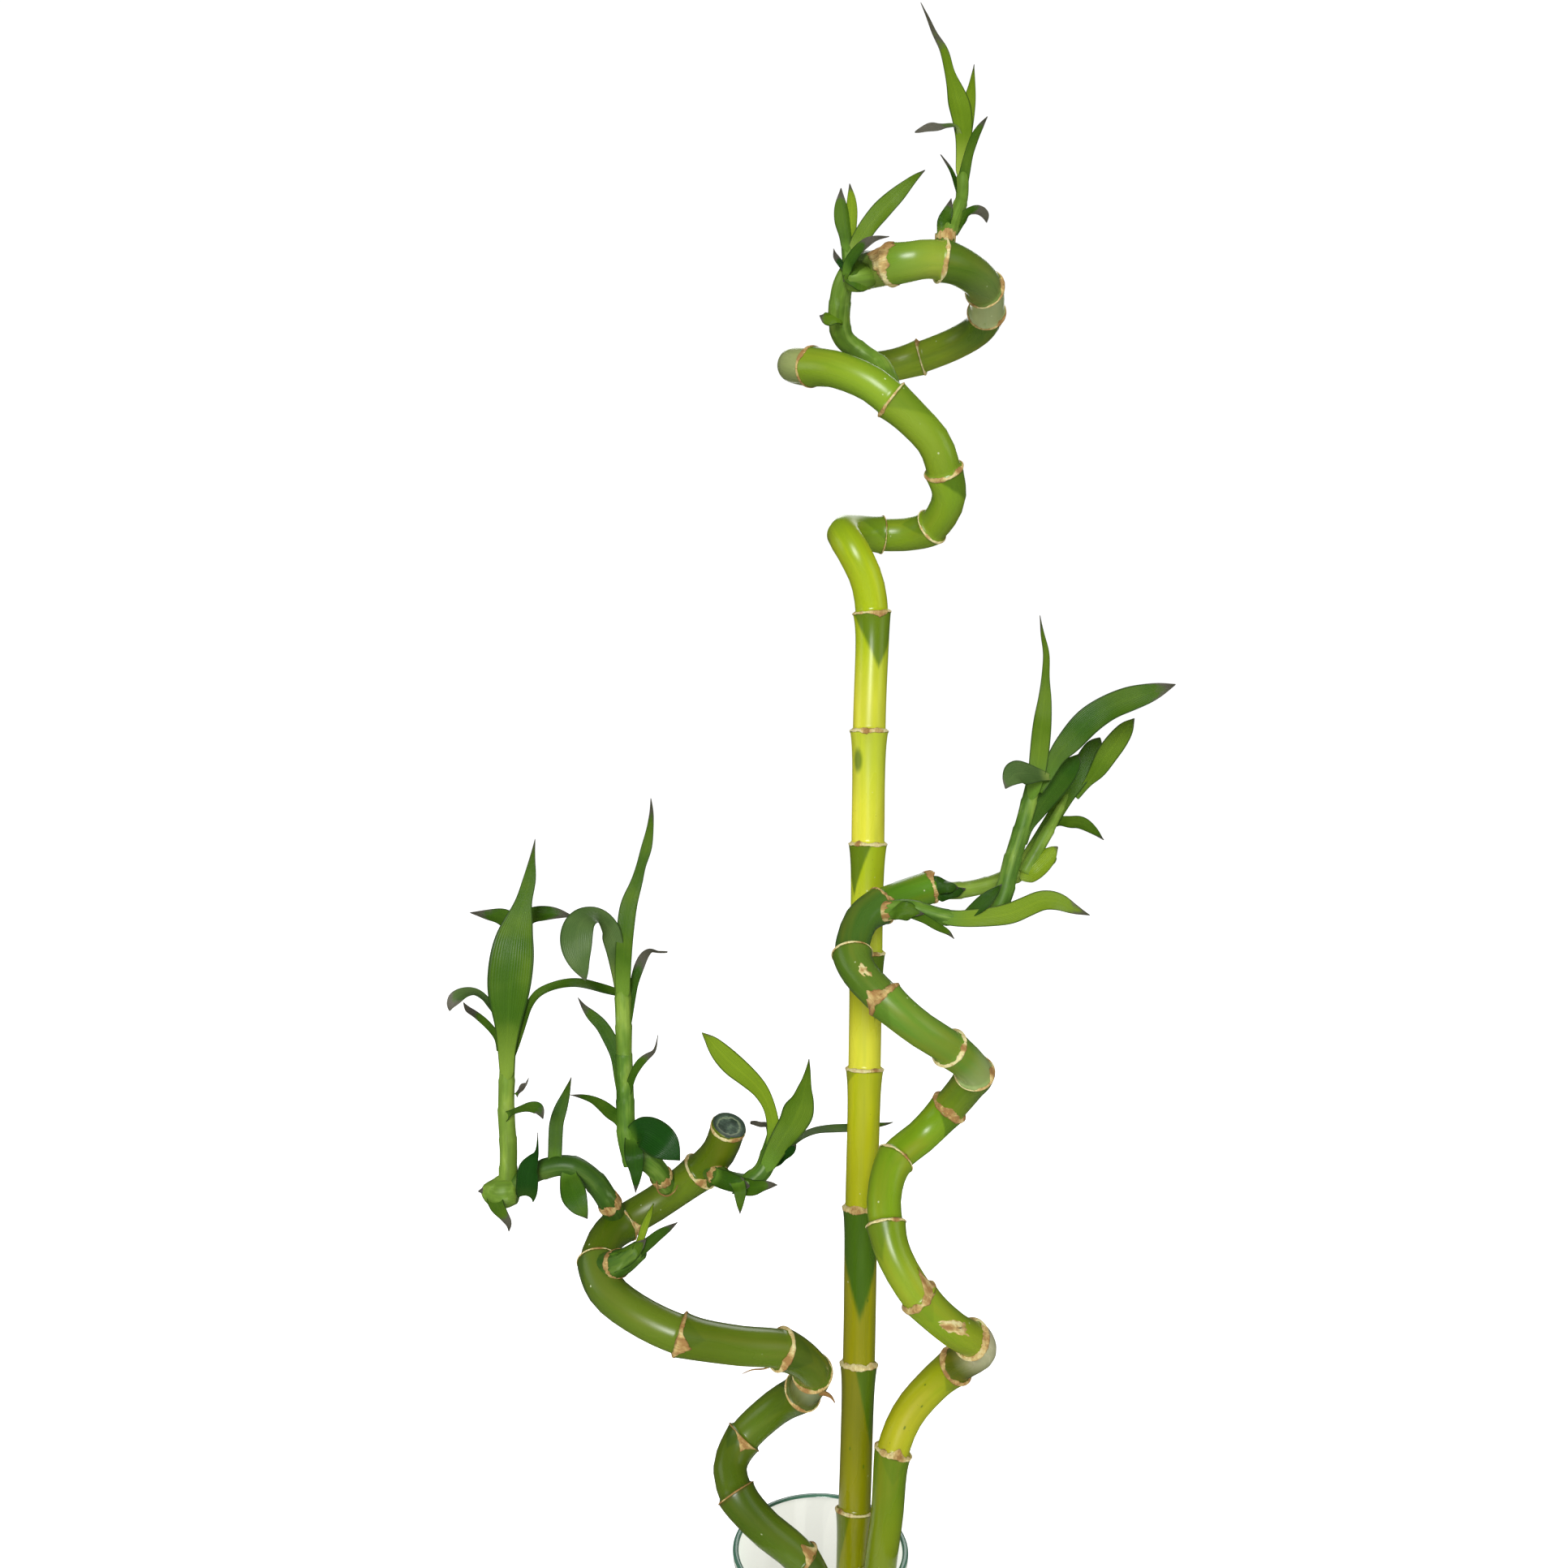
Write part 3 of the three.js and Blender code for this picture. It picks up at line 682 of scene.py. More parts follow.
def dry_skin():
    """Dead papery tissue: cream where it is thin, tan to orange-brown where a rag of it is left, with dark
    fibres and a painted shadow along its lower edge.
    """
    material = new_finish("papery_scar", Specular_IOR_Level=0.2, Roughness=0.75)
    straight = kept("straight")
    brownness, row, _ = kept_numbers("dryness")
    fibres = grain(straight, (1300, 1300, 300), 4.0, 0.65)
    patches = grain(straight, (300, 300, 260))
    share = nudged(nudged(brownness, patches, 1.6), fibres, 0.7)
    colour = ramped(share, (0.12, "ddd29a"), (0.5, "c8ae70"), (0.95, "a07a46"))
    dark = scaled(colour, 0.5, 0.42, 0.34)
    colour = over(colour, dark, fibres, 0.58, 0.72, 0.6)
    colour = over(colour, scaled(colour, 1.45, 1.4, 1.4), fibres, 0.44, 0.32, 0.7)
    # Painted shadow: the band's lowest rows are darkened.
    colour = over(colour, dark, row, 0.16, 0.0, 0.5)
    set_shader(Base_Color=colour, Normal=relief(fibres, 0.0004))
    return material


def cut_skin():
    """The weathered cut face of a cane, with the dots of its cut fibres."""
    material = new_finish("weathered_cut", Roughness=0.55, Specular_IOR_Level=0.3)
    straight = kept("straight")
    mottle = grain(straight, (330, 330, 330), 3.0)
    colour = ramped(mottle, (0.35, "2e4032"), (0.52, "46594a"), (0.7, "6a8068"))
    flat = add_node("VectorMath", straight, (1.0, 1.0, 0.0), operation="MULTIPLY")
    reach = nudged(add_node("VectorMath", flat, out="Value", operation="LENGTH"), mottle, 0.003)
    off_ring = math_of("ABSOLUTE", math_of("SUBTRACT", reach, CUT_RING))
    colour = over(colour, tone("9aa884"), off_ring, 0.0007, 0.0001, 0.6)
    colour = over(colour, tone("2a3a2a"), reach, 0.0062, 0.0068, 0.6)
    dots = specks(straight, 900.0, 0.12, 0.3)
    colour = mixed(math_of("MULTIPLY", dots, 0.45), colour, tone("1c2a20"))
    set_shader(Base_Color=colour, Normal=relief(mottle, 0.0004))
    return material


papery = dry_skin()
weathered_cut = cut_skin()


def tint_at(distance, rings, length, tints):
    """The tint of a cane's skin: each internode goes from its lower tint to its upper one."""
    edges = [0.0] + rings + [length]
    cell = sum(1 for ring in rings if ring < distance - 0.1)
    low, high = tints[min(cell, len(tints) - 1)]
    share = (distance - edges[cell]) / (edges[cell + 1] - edges[cell])
    share = min(max((share - TINT_BLEND) / (1 - 2 * TINT_BLEND), 0.0), 1.0)
    return [a + (b - a) * share for a, b in zip(low[:3], high[:3])]


def build_cane(name, seed, internodes, radii, tints, skin_look, band_list, end_band, wedge_list,
               spot_list=(), scar_list=(), lean_list=(), strand_list=()):
    """Turns a jointed pole, adds its dry bands and scars, and bends them together along the course.
    Bands and wedges go by the number of their ring, and where none is given one is drawn. A wedge is
    (how far down, half width, turn from the front, strength)."""
    way = [point for row in internodes for point in row]
    course = smooth_course(way)
    length = course[1][-1] / MM
    tints = [(tone(low), tone(high)) for low, high in tints]
    starts = [sum(len(row) for row in internodes[:i]) for i in range(len(internodes))]
    rings = [course[2][start] / MM for start in starts][1:]
    draw = random.Random(seed)

    def radius_at(distance):
        return cane_radius(distance, rings, radii, length)

    def angles_of(marks):
        places = sides_to_camera(course, [mark[0] for mark in marks])
        return [front + right * mark[1] for mark, (front, right) in zip(marks, places)]

    heights = {FOOT_ROUND}
    for ring in rings:
        heights.update(ring + offset for offset in RING_OFFSETS if 1 < ring + offset < length - 2)
    fill = POLE_STEP
    while fill < length - 3:
        if all(abs(fill - height) > STATION_GAP for height in heights):
            heights.add(fill)
        fill += POLE_STEP
    end = radius_at(length)
    profile = [(0.0, 0.0), (radii[0] - FOOT_ROUND, 0.0)] + [(radius_at(z), z) for z in sorted(heights)]
    profile += [(end - inward, length - down) for inward, down in CUT_PROFILE]
    profile += [(end * 0.45, length - CUT_DEPTH - 0.25), (0.0, length - CUT_DEPTH)]
    pole = turned_pole(name, [(r * MM, z * MM) for r, z in profile], POLE_SIDES)
    for vertex in pole.data.vertices:
        x, y, z = vertex.co
        swell = 1 + WOBBLE * noise.noise(Vector((x / MM * 0.12, y / MM * 0.12, z / MM * 0.03 + seed * 9)))
        vertex.co.x *= swell
        vertex.co.y *= swell
    facing = sides_to_camera(course, rings)
    spots = []
    for (distance, _, size), angle in zip(spot_list, angles_of(spot_list)):
        radius = radius_at(distance)
        spots.append((Vector((radius * cos(angle), radius * sin(angle), distance)) * MM, size))
    wear(pole, cane_skin(name + "_wax", *skin_look, spots), weathered_cut)
    for face in pole.data.polygons:
        height = length - face.center.z / MM
        rim = (face.center.x ** 2 + face.center.y ** 2) ** 0.5 / MM
        if height < CUT_DEPTH + CUT_SKIN_DEPTH and rim < end - CUT_SKIN_INSET:
            face.material_index = 1
    wedges = []
    for i, (front, right) in enumerate(facing):
        drawn = [draw.uniform(*bounds) for bounds in WEDGE_RANGES]
        down, half, turn, strength = wedge_list.get(i + 1, drawn)
        wedges.append((down, half, front + right * turn, strength))
    marks = []
    wedge_sizes = []
    shades = []
    for vertex in pole.data.vertices:
        distance = vertex.co.z / MM
        above = [i for i, ring in enumerate(rings) if ring >= distance - 0.02]
        down, half, angle, strength = wedges[above[0]] if above else NO_WEDGE
        below = rings[above[0]] - distance if above else BELOW_NO_RING
        turn = atan2(vertex.co.y, vertex.co.x) - angle
        marks.append((below * MM, sin(turn), cos(turn)))
        wedge_sizes.append((down * MM, half, strength))
        shades.append(tint_at(distance, rings, length, tints))
    keep(pole, "marks", marks)
    keep(pole, "wedge", wedge_sizes)
    keep(pole, "tint", shades)

    trims = []
    for i, ring in enumerate(rings):
        width, brown = draw.uniform(0.7, 1.1), draw.uniform(0.1, 0.5)
        plain = (width, brown, draw.choice((-1, 1, 2)), draw.uniform(-3, 3), 0.5)
        trims.append(dry_band(ring, radius_at, band_list.get(i + 1, plain), *facing[i], seed * 10 + i))
    below_end, end_look = end_band
    end_facing = sides_to_camera(course, [length - below_end])[0]
    trims.append(dry_band(length - below_end, radius_at, end_look, *end_facing, seed * 10 + 90))
    for i, ((distance, _, *shape), angle) in enumerate(zip(scar_list, angles_of(scar_list))):
        trims.append(scar(distance, angle, radius_at, *shape, seed + i * 1.7))
    cane = join([pole] + trims, name + "_skin")
    keep(cane, "straight", [vertex.co.copy() for vertex in cane.data.vertices])
    for number, lean in lean_list:
        front, _ = facing[number - 1]
        for vertex in cane.data.vertices:
            gap = vertex.co.z / MM - rings[number - 1]
            if abs(gap) < LEAN_REACH * 3:
                turn = cos(atan2(vertex.co.y, vertex.co.x) - front)
                vertex.co.z += lean * MM * turn * exp(-((gap / LEAN_REACH) ** 2))
    bend_along(cane, course)
    cane = join([cane] + [dry_strand(strand, seed + i) for i, strand in enumerate(strand_list)], cane.name)
    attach(cane, "root")
    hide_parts(name)


# Tall cane
# The oldest cane: straight and olive below, yellow in the middle, and trained at its top into two
# green turns that end in a cut. Each row of points starts at a ring.
TALL_CANE = (
    ((12, 13, 9.3), (12, 13, 20)),
    ((13, 13, 72),),
    ((14, 12, 140),),
    ((16.1, 10, 210),),
    ((18.2, 10, 278),),
    ((19.4, 10, 350.5),),
    ((20.9, 10, 415),),
    ((21.6, 10, 469),),
    ((22.4, 10, 519.5),),
    ((23, 10, 572),),
    ((24.2, 10, 627), (21.5, 7, 642), (15, 5, 655), (11, 12, 664), (18, 26, 668)),
    ((31, 33, 668), (44, 31, 668)),
    ((54, 24, 670), (60, 10, 680)),
    ((56, -2, 690), (51, -9, 700), (41, -12, 710)),
    ((31, -14, 718), (22, -14, 725), (7, -9, 733)),
    ((-4, 1, 738), (-12, 16, 744), (-5, 38, 750)),
    ((16, 56, 756), (37, 61.5, 760)),
    ((53, 60, 764), (70, 51, 768), (79, 37, 770)),
    ((80.2, 25, 772.6),),
    ((76, 5.5, 775.4), (70, -6, 776), (60, -17.5, 776)),
    ((52, -23, 775.7), (45, -26, 775), (37, -26.5, 773.5)),
    ((30, -23, 774), (25, -17, 775), (20, -8, 778)),
)
STRAW, LEMON, LIME = "dcd63e", "c8cc38", "a9b812"
OLIVE, OLD_OLIVE, DARK_OLIVE = "a4a60e", "8e8a0a", "74740c"
# The pale grey of the cell on the loop's right turn is partly the skin's own grey and partly painted light,
# made paler for the weak light that side gets.
LOOP_GREEN, LOOP_DARK, LOOP_GREY_WITH_PAINTED_LIGHT, LOOP_PALE = "7a9420", "55721c", "a9b580", "9aa468"
TALL_TINTS = (
    (OLD_OLIVE, DARK_OLIVE), (OLD_OLIVE, DARK_OLIVE), (OLIVE, OLD_OLIVE), (OLD_OLIVE, DARK_OLIVE),
    (OLD_OLIVE, OLD_OLIVE), (OLIVE, "b0b41a"), (STRAW, OLIVE), (LEMON, LIME), (STRAW, LEMON), (STRAW, LIME),
    (LIME, LOOP_GREEN), (LOOP_GREEN, LOOP_GREEN), (LOOP_GREEN, "86a526"), (LOOP_GREEN, LOOP_GREEN),
    ("7f9e22", LOOP_GREEN), (LOOP_PALE, LOOP_GREEN), (LOOP_GREEN, LOOP_GREEN), (LOOP_GREEN, LOOP_DARK),
    (LOOP_GREY_WITH_PAINTED_LIGHT, LOOP_GREY_WITH_PAINTED_LIGHT), ("6f8440", LOOP_DARK), ("8fa236", "74922c"), ("7c9040", "6c8a34"),
)
build_cane(
    "cane_tall", 3, TALL_CANE, (7.4, 7.8), TALL_TINTS, ("42640c", "8c8a10", 0.25),
    band_list={
        3: (0.9, 0.0, 1.0, -0.9, 0.6), 4: (2.0, 0.1, 1.6, 0.9, 0.5), 5: (2.6, 0.3, 0.6, 0.0, 0.9),
        6: (1.3, 0.1, 0.8, 0.6, 0.6), 7: (1.4, 0.1, 0.8, 0.5, 0.6), 8: (1.3, 0.05, 0.8, -0.5, 0.6),
        9: (1.4, 0.1, -1.0, -0.1, 0.5), 10: (1.3, 0.35, -2.6, 0.45, 0.6), 15: (1.6, 0.6, -2.0, 0.8, 0.9),
        17: (0.9, 0.3, 1.5, -1.2, 0.5), 18: (0.7, 0.7, 0.8, 1.0, 0.6), 19: (0.7, 0.4, 3.0, 1.3, 0.5),
        20: (1.1, 0.1, 0.8, 0.0, 0.5), 21: (5.2, 0.4, 4.5, -1.0, 0.9)
    },
    end_band=(1.6, (0.8, 0.5, 1.0, 0.8, 0.6)),
    wedge_list={
        3: (26, 0.9, -1.1, 0.6), 4: (34, 1.2, 0.95, 0.85), 5: (50, 2.3, 0.0, 1.0), 6: (8, 1.0, -1.3, 0.4),
        7: (30, 1.3, 0.6, 0.9), 8: (24, 1.1, -0.9, 0.8), 9: (20, 0.5, -0.8, 0.1), 10: (26, 1.7, 0.45, 0.8),
        19: NO_WEDGE, 20: NO_WEDGE, 21: NO_WEDGE
    },
    spot_list=((549, -0.7, 3.4), (225, 0.5, 0.6), (233, -0.4, 0.5), (301, 0.5, 0.5)),
    lean_list=((3, 2.4), (4, 1.9), (5, 1.2), (6, 0.8), (20, 2.5))
)

# Right cane
# A younger cane that winds up in front. It is bright yellow-green in the glass and mid-green above,
# with wide papery rags at its rings, and its cut end passes in front of the tall cane.
RIGHT_CANE = (
    ((22, -10, 9.3), (22, -10, 20)),
    ((24, -9, 70),),
    ((26, -7, 130),),
    ((26.5, -6, 190), (30, -5, 217)),
    ((33, -3, 245), (40, 0, 260), (52, 0, 274)),
    ((61, -6, 285), (69, -19, 298), (67.4, -25, 304.2)),
    ((64, -29.5, 308.2), (56, -36, 315)),
    ((40, -42, 332), (30, -39, 348)),
    ((27, -33, 359), (27, -25, 369)),
    ((33, -14, 381), (46, -6, 389)),
    ((58, -7, 402), (64.6, -18, 415)),
    ((66.2, -25.5, 422),),
    ((53, -40, 436), (38, -48.4, 447)),
    ((25, -47, 458), (15, -38, 468)),
    ((12.6, -32, 474.5), (14, -25, 481), (18, -18, 488)),
    ((27, -11, 493), (40, -6, 497.5), (51, -4, 501)),
)
DEEP, MOSS, FERN = "476a24", "5c7826", "688c2c"
GRASS, SAP, HAY = "7a9a18", "8aa022", "b0b01a"
RIGHT_TINTS = (
    (GRASS, MOSS), (GRASS, MOSS), (GRASS, MOSS), ("7c8a10", "66800e"), (HAY, "98a214"),
    ("566010", "c4c09c"), ("86961c", "7f981a"), (SAP, "728c16"), (GRASS, GRASS), (GRASS, GRASS),
    ("768a24", "6a8226"), ("9cac70", FERN), (FERN, FERN), (MOSS, MOSS), (DEEP, DEEP), ("4f7a18", "53801a"),
)
build_cane(
    "cane_right", 5, RIGHT_CANE, (7.2, 7.4), RIGHT_TINTS, ("4a6a10", "9a8c14", 0.3),
    band_list={
        3: (1.2, 0.2, 2.0, 0.5, 0.5), 4: (1.5, 0.25, 3.6, 0.3, 0.5), 5: (1.6, 0.8, 2.5, -0.9, 0.9),
        6: (2.2, 0.35, 2.4, 0.3, 1.2), 7: (2.0, 0.6, 9.5, 0.9, 0.7), 8: (0.9, 0.1, -0.8, 0.6, 0.5),
        9: (0.9, 0.1, 0.8, 0.4, 0.5), 10: (2.2, 0.7, 6.0, 0.3, 0.9), 11: (0.7, 0.4, 3.5, 1.3, 0.5),
        12: (1.4, 0.05, 0.6, 0.5, 0.5), 13: (2.0, 0.6, 4.4, -0.4, 0.9), 14: (0.8, 0.05, 0.5, 0.6, 0.5),
        15: (1.8, 0.6, 2.6, 0.0, 0.8)
    },
    end_band=(1.5, (1.6, 0.6, 2.2, -1.0, 0.9)),
    wedge_list={
        4: (12, 1.0, 0.3, 0.3), 5: (10, 1.0, 0.9, 0.4), 6: NO_WEDGE, 7: (8, 1.0, -0.3, 0.2),
        8: (14, 1.2, -0.8, 0.5), 9: (8, 1.0, 0.0, 0.1), 11: NO_WEDGE, 12: NO_WEDGE
    },
    spot_list=((249, 0.2, 0.6), (262, 0.4, 0.5), (271, -0.3, 0.5)),
    scar_list=((343.5, 0.1, 16, 6.4, -0.45), (561, 0.3, 8, 4.6, 0.0))
)

# Left cane
# The third cane winds up to the left and carries most of the shoots. Its green is deeper, and its
# upright cut end shows a grey-green face in a tan rim.
LEFT_CANE = (
    ((-2, -17, 9.3), (-2, -17, 20)),
    ((-1, -18, 62),),
    ((2, -17, 115), (5, -16, 150), (2, -13, 180)),
    ((-9, -11, 201), (-27, -13, 218)),
    ((-38, -10, 230), (-41, -2, 237.5)),
    ((-35, 6, 246), (-20, 6, 260)),
    ((-8, -3, 272),),
    ((-4, -16, 287), (-10, -27, 299)),
    ((-18, -34, 306), (-37, -43, 312)),
    ((-60, -46, 318), (-80, -41, 325), (-93, -32, 331)),
    ((-98, -21, 338), (-96, -10, 344)),
    ((-89, -1, 348), (-75, 4, 355)),
    ((-55, 2, 370), (-46, -4, 381), (-41, -11, 395)),
)
FOREST, HOLLY, LAUREL = "4c620c", "566a12", "60761a"
LEFT_TINTS = (
    (HOLLY, FOREST), (HOLLY, FOREST), (HOLLY, FOREST), (LAUREL, FOREST), (HOLLY, HOLLY), (LAUREL, HOLLY),
    ("5e6630", "8c9268"), (LAUREL, HOLLY), (LAUREL, HOLLY), (LAUREL, "5a7020"), (HOLLY, FOREST),
    (HOLLY, LAUREL), ("52690e", "56680c"),
)
build_cane(
    "cane_left", 8, LEFT_CANE, (7.2, 7.9), LEFT_TINTS, ("3a5410", "777418", 0.25),
    band_list={
        3: (1.0, 0.5, 7.0, 0.6, 0.6), 4: (0.1, 1.0, 0.1, 0.0, 0.5), 5: (0.3, 0.7, -8.5, 0.2, 0.75),
        6: (0.7, 0.5, 0.6, 0.4, 0.6), 7: (0.9, 0.3, 1.0, -0.4, 0.9), 8: (1.2, 0.3, 2.6, -0.6, 0.8),
        9: (1.3, 0.8, -5.0, -0.5, 0.7), 10: (0.7, 0.1, 0.5, 0.0, 0.5), 11: (1.8, 0.5, 6.0, 0.9, 0.9),
        12: (1.3, 0.2, 4.0, 0.6, 0.5)
    },
    end_band=(1.9, (1.5, 0.35, 1.2, 0.7, 0.9)),
    wedge_list={
        3: (14, 1.2, 0.2, 0.5), 7: NO_WEDGE, 9: (10, 1.0, 0.0, 0.3)
    },
    strand_list=(
        ((-4, -16.5, 278, 0.5), (-1, -18.5, 279.2, 1), (1.5, -20, 279.7, 1.1), (4, -20.5, 278.6, 0.7),
         (5.7, -20.5, 276, 0.25)),
        ((-19, -37, 301.5, 0.4), (-25, -40, 300.6, 0.35), (-30, -42, 301.2, 0.3),
         (-34, -42.5, 299.8, 0.15)),
        ((-73.6, -10, 369.8, 0.3), (-72.6, -12.5, 365.6, 0.35), (-68.6, -13, 363.9, 0.35),
         (-65.4, -12, 365.6, 0.3), (-64, -11, 368.2, 0.15)),
    )
)

# Roots
# Thin orange roots that broke from the feet of the canes once they stood in water, and curl in it.
ROOTS_EACH = 9
ROOT_STEPS = 6
ROOT_THICK = 0.75
ROOT_THIN = 0.3
ROOT_LOWEST = 11.5
ROOT_FARTHEST = 34.0
ROOT_OUT = 6.2
ROOT_STATIONS = 14


def root_finish():
    """Root skin: orange, with ivory stretches and fine cross lines."""
    material = new_finish("root_skin", Roughness=0.5, Specular_IOR_Level=0.3)
    straight = kept("straight")
    stretches = grain(straight, (60, 60, 160), 3.0)
    colour = ramped(stretches, (0.35, "b86a2c"), (0.55, "d09550"), (0.75, "e2cf9c"))
    set_shader(Base_Color=colour, Normal=relief(grain(straight, (500, 500, 900)), 0.0001))
    return material


draw = random.Random(12)
root_skin = root_finish()
roots = []
for foot_x, foot_y in ((12, 13), (22, -10), (-2, -17)):
    for number in range(ROOTS_EACH):
        turn = tau * (number + draw.uniform(-0.3, 0.3)) / ROOTS_EACH
        start = draw.uniform(16, 60)
        reach = draw.uniform(8, 18)
        fall = draw.uniform(8, 26)
        way = []
        for step in range(ROOT_STEPS):
            share = step / (ROOT_STEPS - 1)
            out = ROOT_OUT + reach * share ** 0.7
            sway = turn + 0.5 * sin(3.2 * share + number) * share
            spot = Vector((foot_x + out * cos(sway), foot_y + out * sin(sway)))
            spot *= min(1.0, ROOT_FARTHEST / spot.length)
            height = max(start - fall * share ** 1.6, ROOT_LOWEST + 2.5 * (1 - share))
            way.append((spot.x, spot.y, height, ROOT_THICK + (ROOT_THIN - ROOT_THICK) * share))
        roots.append(thread("root", way, root_skin, ROOT_STATIONS, ROOT_THIN, number * 0.1))
all_roots = join(roots, "roots")
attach(all_roots, "root")

# Shoots
# Leafy side shoots that broke from the upper joints. Each is a fleshy stem wrapped in the feet of its
# leaves, with a dry collar where it left its cane. A row is x, y, z and a width or radius.
BLADE_ACROSS = 8
BLADE_ALONG = 30
BLADE_THICKNESS = 0.42
THIN_TIP = 0.12
FOOT_ROUNDING = 3.5
STEM_SIDES = 22
STEM_JOINT_GAP = 13.0
STEM_JOINT_RISE = 0.35
STEM_STEP = 1.3
STEM_TIP = 0.8
TO_VIEWER = (0, -1, 0.35)
UPWARD = (0, -0.8, 0.8)
SKYWARD = (0, -0.6, 0.7)
SIDEWAYS = (0.8, -0.8, 0.2)
FOOT_CURL_REACH = 0.3
FLATTEST_CUP = 0.05
RUN_STEP = 0.02
LEAF_RIBS = 17
RIPPLES = 9.0
RIPPLE_SLANT = 1.6


def swung(colour, bright, light_code, dark_code):
    """A colour moved to a light or a dark one, by a brightness that goes from -1 to 1."""
    colour = over(colour, tone(light_code), bright, 0.0, 1.0)
    return over(colour, tone(dark_code), bright, 0.0, -1.0)


def green_leaf(name, blade, heart, foot, tip, edge):
    """Leaf skin: pale at its foot, green along its blade, dead at its tip, with veins along it."""
    material = new_finish(name, Specular_IOR_Level=0.15)
    across, along, _ = add_node("SeparateXYZ", add_node("UVMap", uv_map="UVMap")).node.outputs
    bright, dryness, seed = kept_numbers("leaf")
    foot_bright = kept_numbers("foot")[0]
    place = add_node("TexCoord", out="Object")
    cloud = grain(place, (55, 55, 55))
    fine = grain(place, (420, 420, 420))
    from_middle = math_of("ABSOLUTE", math_of("MULTIPLY_ADD", across, 2.0, -1.0))

    colour = over(tone(blade), tone(heart), cloud, 0.3, 0.7)
    colour = swung(colour, bright, "7d981c", "17420e")
    pale = scaled(colour, 1.35, 1.25, 1.25)
    fine_across, slow_along = math_of("MULTIPLY", across, 26.0), math_of("MULTIPLY", along, 1.6)
    streak = add_node("CombineXYZ", fine_across, slow_along, seed)
    colour = over(colour, pale, add_node("TexNoise", streak, None, 1.0, 3.0), 0.4, 0.75, 0.3)
    colour = over(colour, pale, from_middle, 0.16, 0.0, 0.35)
    foot = swung(tone(foot), foot_bright, "96ac40", "2c4c14")
    colour = over(colour, foot, along, 0.26, 0.02, 0.9)
    colour = over(colour, tone(edge), from_middle, 0.8, 0.98, 0.8)
    wither = math_of("MULTIPLY_ADD", math_of("POWER", from_middle, 3.0), 0.06, nudged(along, fine, 0.16))
    start = math_of("MULTIPLY_ADD", dryness, -0.3, 1.0)
    colour = over(colour, tone(tip), wither, start, math_of("ADD", start, 0.1), 0.9)
    ribs = math_of("SINE", math_of("MULTIPLY", across, LEAF_RIBS * tau))
    surface = math_of("MULTIPLY_ADD", fine, 0.8, math_of("MULTIPLY", ribs, 0.5))
    rough = eased(cloud, 0.3, 0.7, 0.3, 0.45)
    set_shader(Base_Color=colour, Roughness=rough, Normal=relief(surface, 0.00007))
    return material


def leaf(rows, curl, bright, dry, face=TO_VIEWER, foot=0.0, wave=0.0, twist=0.0, turned=False, seed=0):
    """A grid laid along a midrib as wide as its rows say, cupped towards its face and closed behind.
    A foot with a negative curl wraps its stem from the front, and a turned leaf shows its pale back."""
    course = smooth_course(rows)
    length = course[1][-1]
    fresh_start()
    bpy.ops.mesh.primitive_grid_add(x_subdivisions=BLADE_ACROSS, y_subdivisions=BLADE_ALONG, size=2)
    blade = bpy.context.object
    blade.name = "blade"
    face = Vector(face).normalized()
    for vertex in blade.data.vertices:
        across = vertex.co.x
        along = (vertex.co.y + 1) / 2
        here = along_course(course, along * length)
        ahead = along_course(course, min(along + RUN_STEP, 1.0) * length)
        behind = along_course(course, max(along - RUN_STEP, 0.0) * length)
        run = (ahead - behind).to_3d().normalized()
        side = run.cross(face).normalized()
        up = side.cross(run)
        turn = twist * along
        side, up = side * cos(turn) + up * sin(turn), up * cos(turn) - side * sin(turn)
        cup = curl[1] + (curl[0] - curl[1]) * max(0.0, 1 - along / FOOT_CURL_REACH) ** 2
        cup = cup if abs(cup) > FLATTEST_CUP else FLATTEST_CUP
        half = max(here.w / 2, THIN_TIP * MM)
        if curl[0] < 0:
            half *= min(1.0, along * length / (FOOT_ROUNDING * MM) + 0.04) ** 0.5
        ripple = wave * sin(RIPPLES * along + seed + RIPPLE_SLANT * across) * across ** 2
        vertex.co = (
            here.to_3d() + side * (half * sin(cup * across) / sin(cup))
            + up * (half * ((1 - cos(cup * across)) / sin(cup) + ripple))
        )
    keep(blade, "leaf", [(bright, dry, seed * 3.7)] * len(blade.data.vertices))
    keep(blade, "foot", [(foot, 0, 0)] * len(blade.data.vertices))
    wear(blade, *((leaf_under, leaf_top) if turned else (leaf_top, leaf_under)))
    thick = BLADE_THICKNESS * MM
    finish_with(blade, "SOLIDIFY", thickness=thick, offset=0.0, material_offset=1, use_even_offset=False)
    finish_with(blade, "SUBSURF", levels=1, render_levels=1)
    bpy.ops.object.shade_smooth()
    return blade


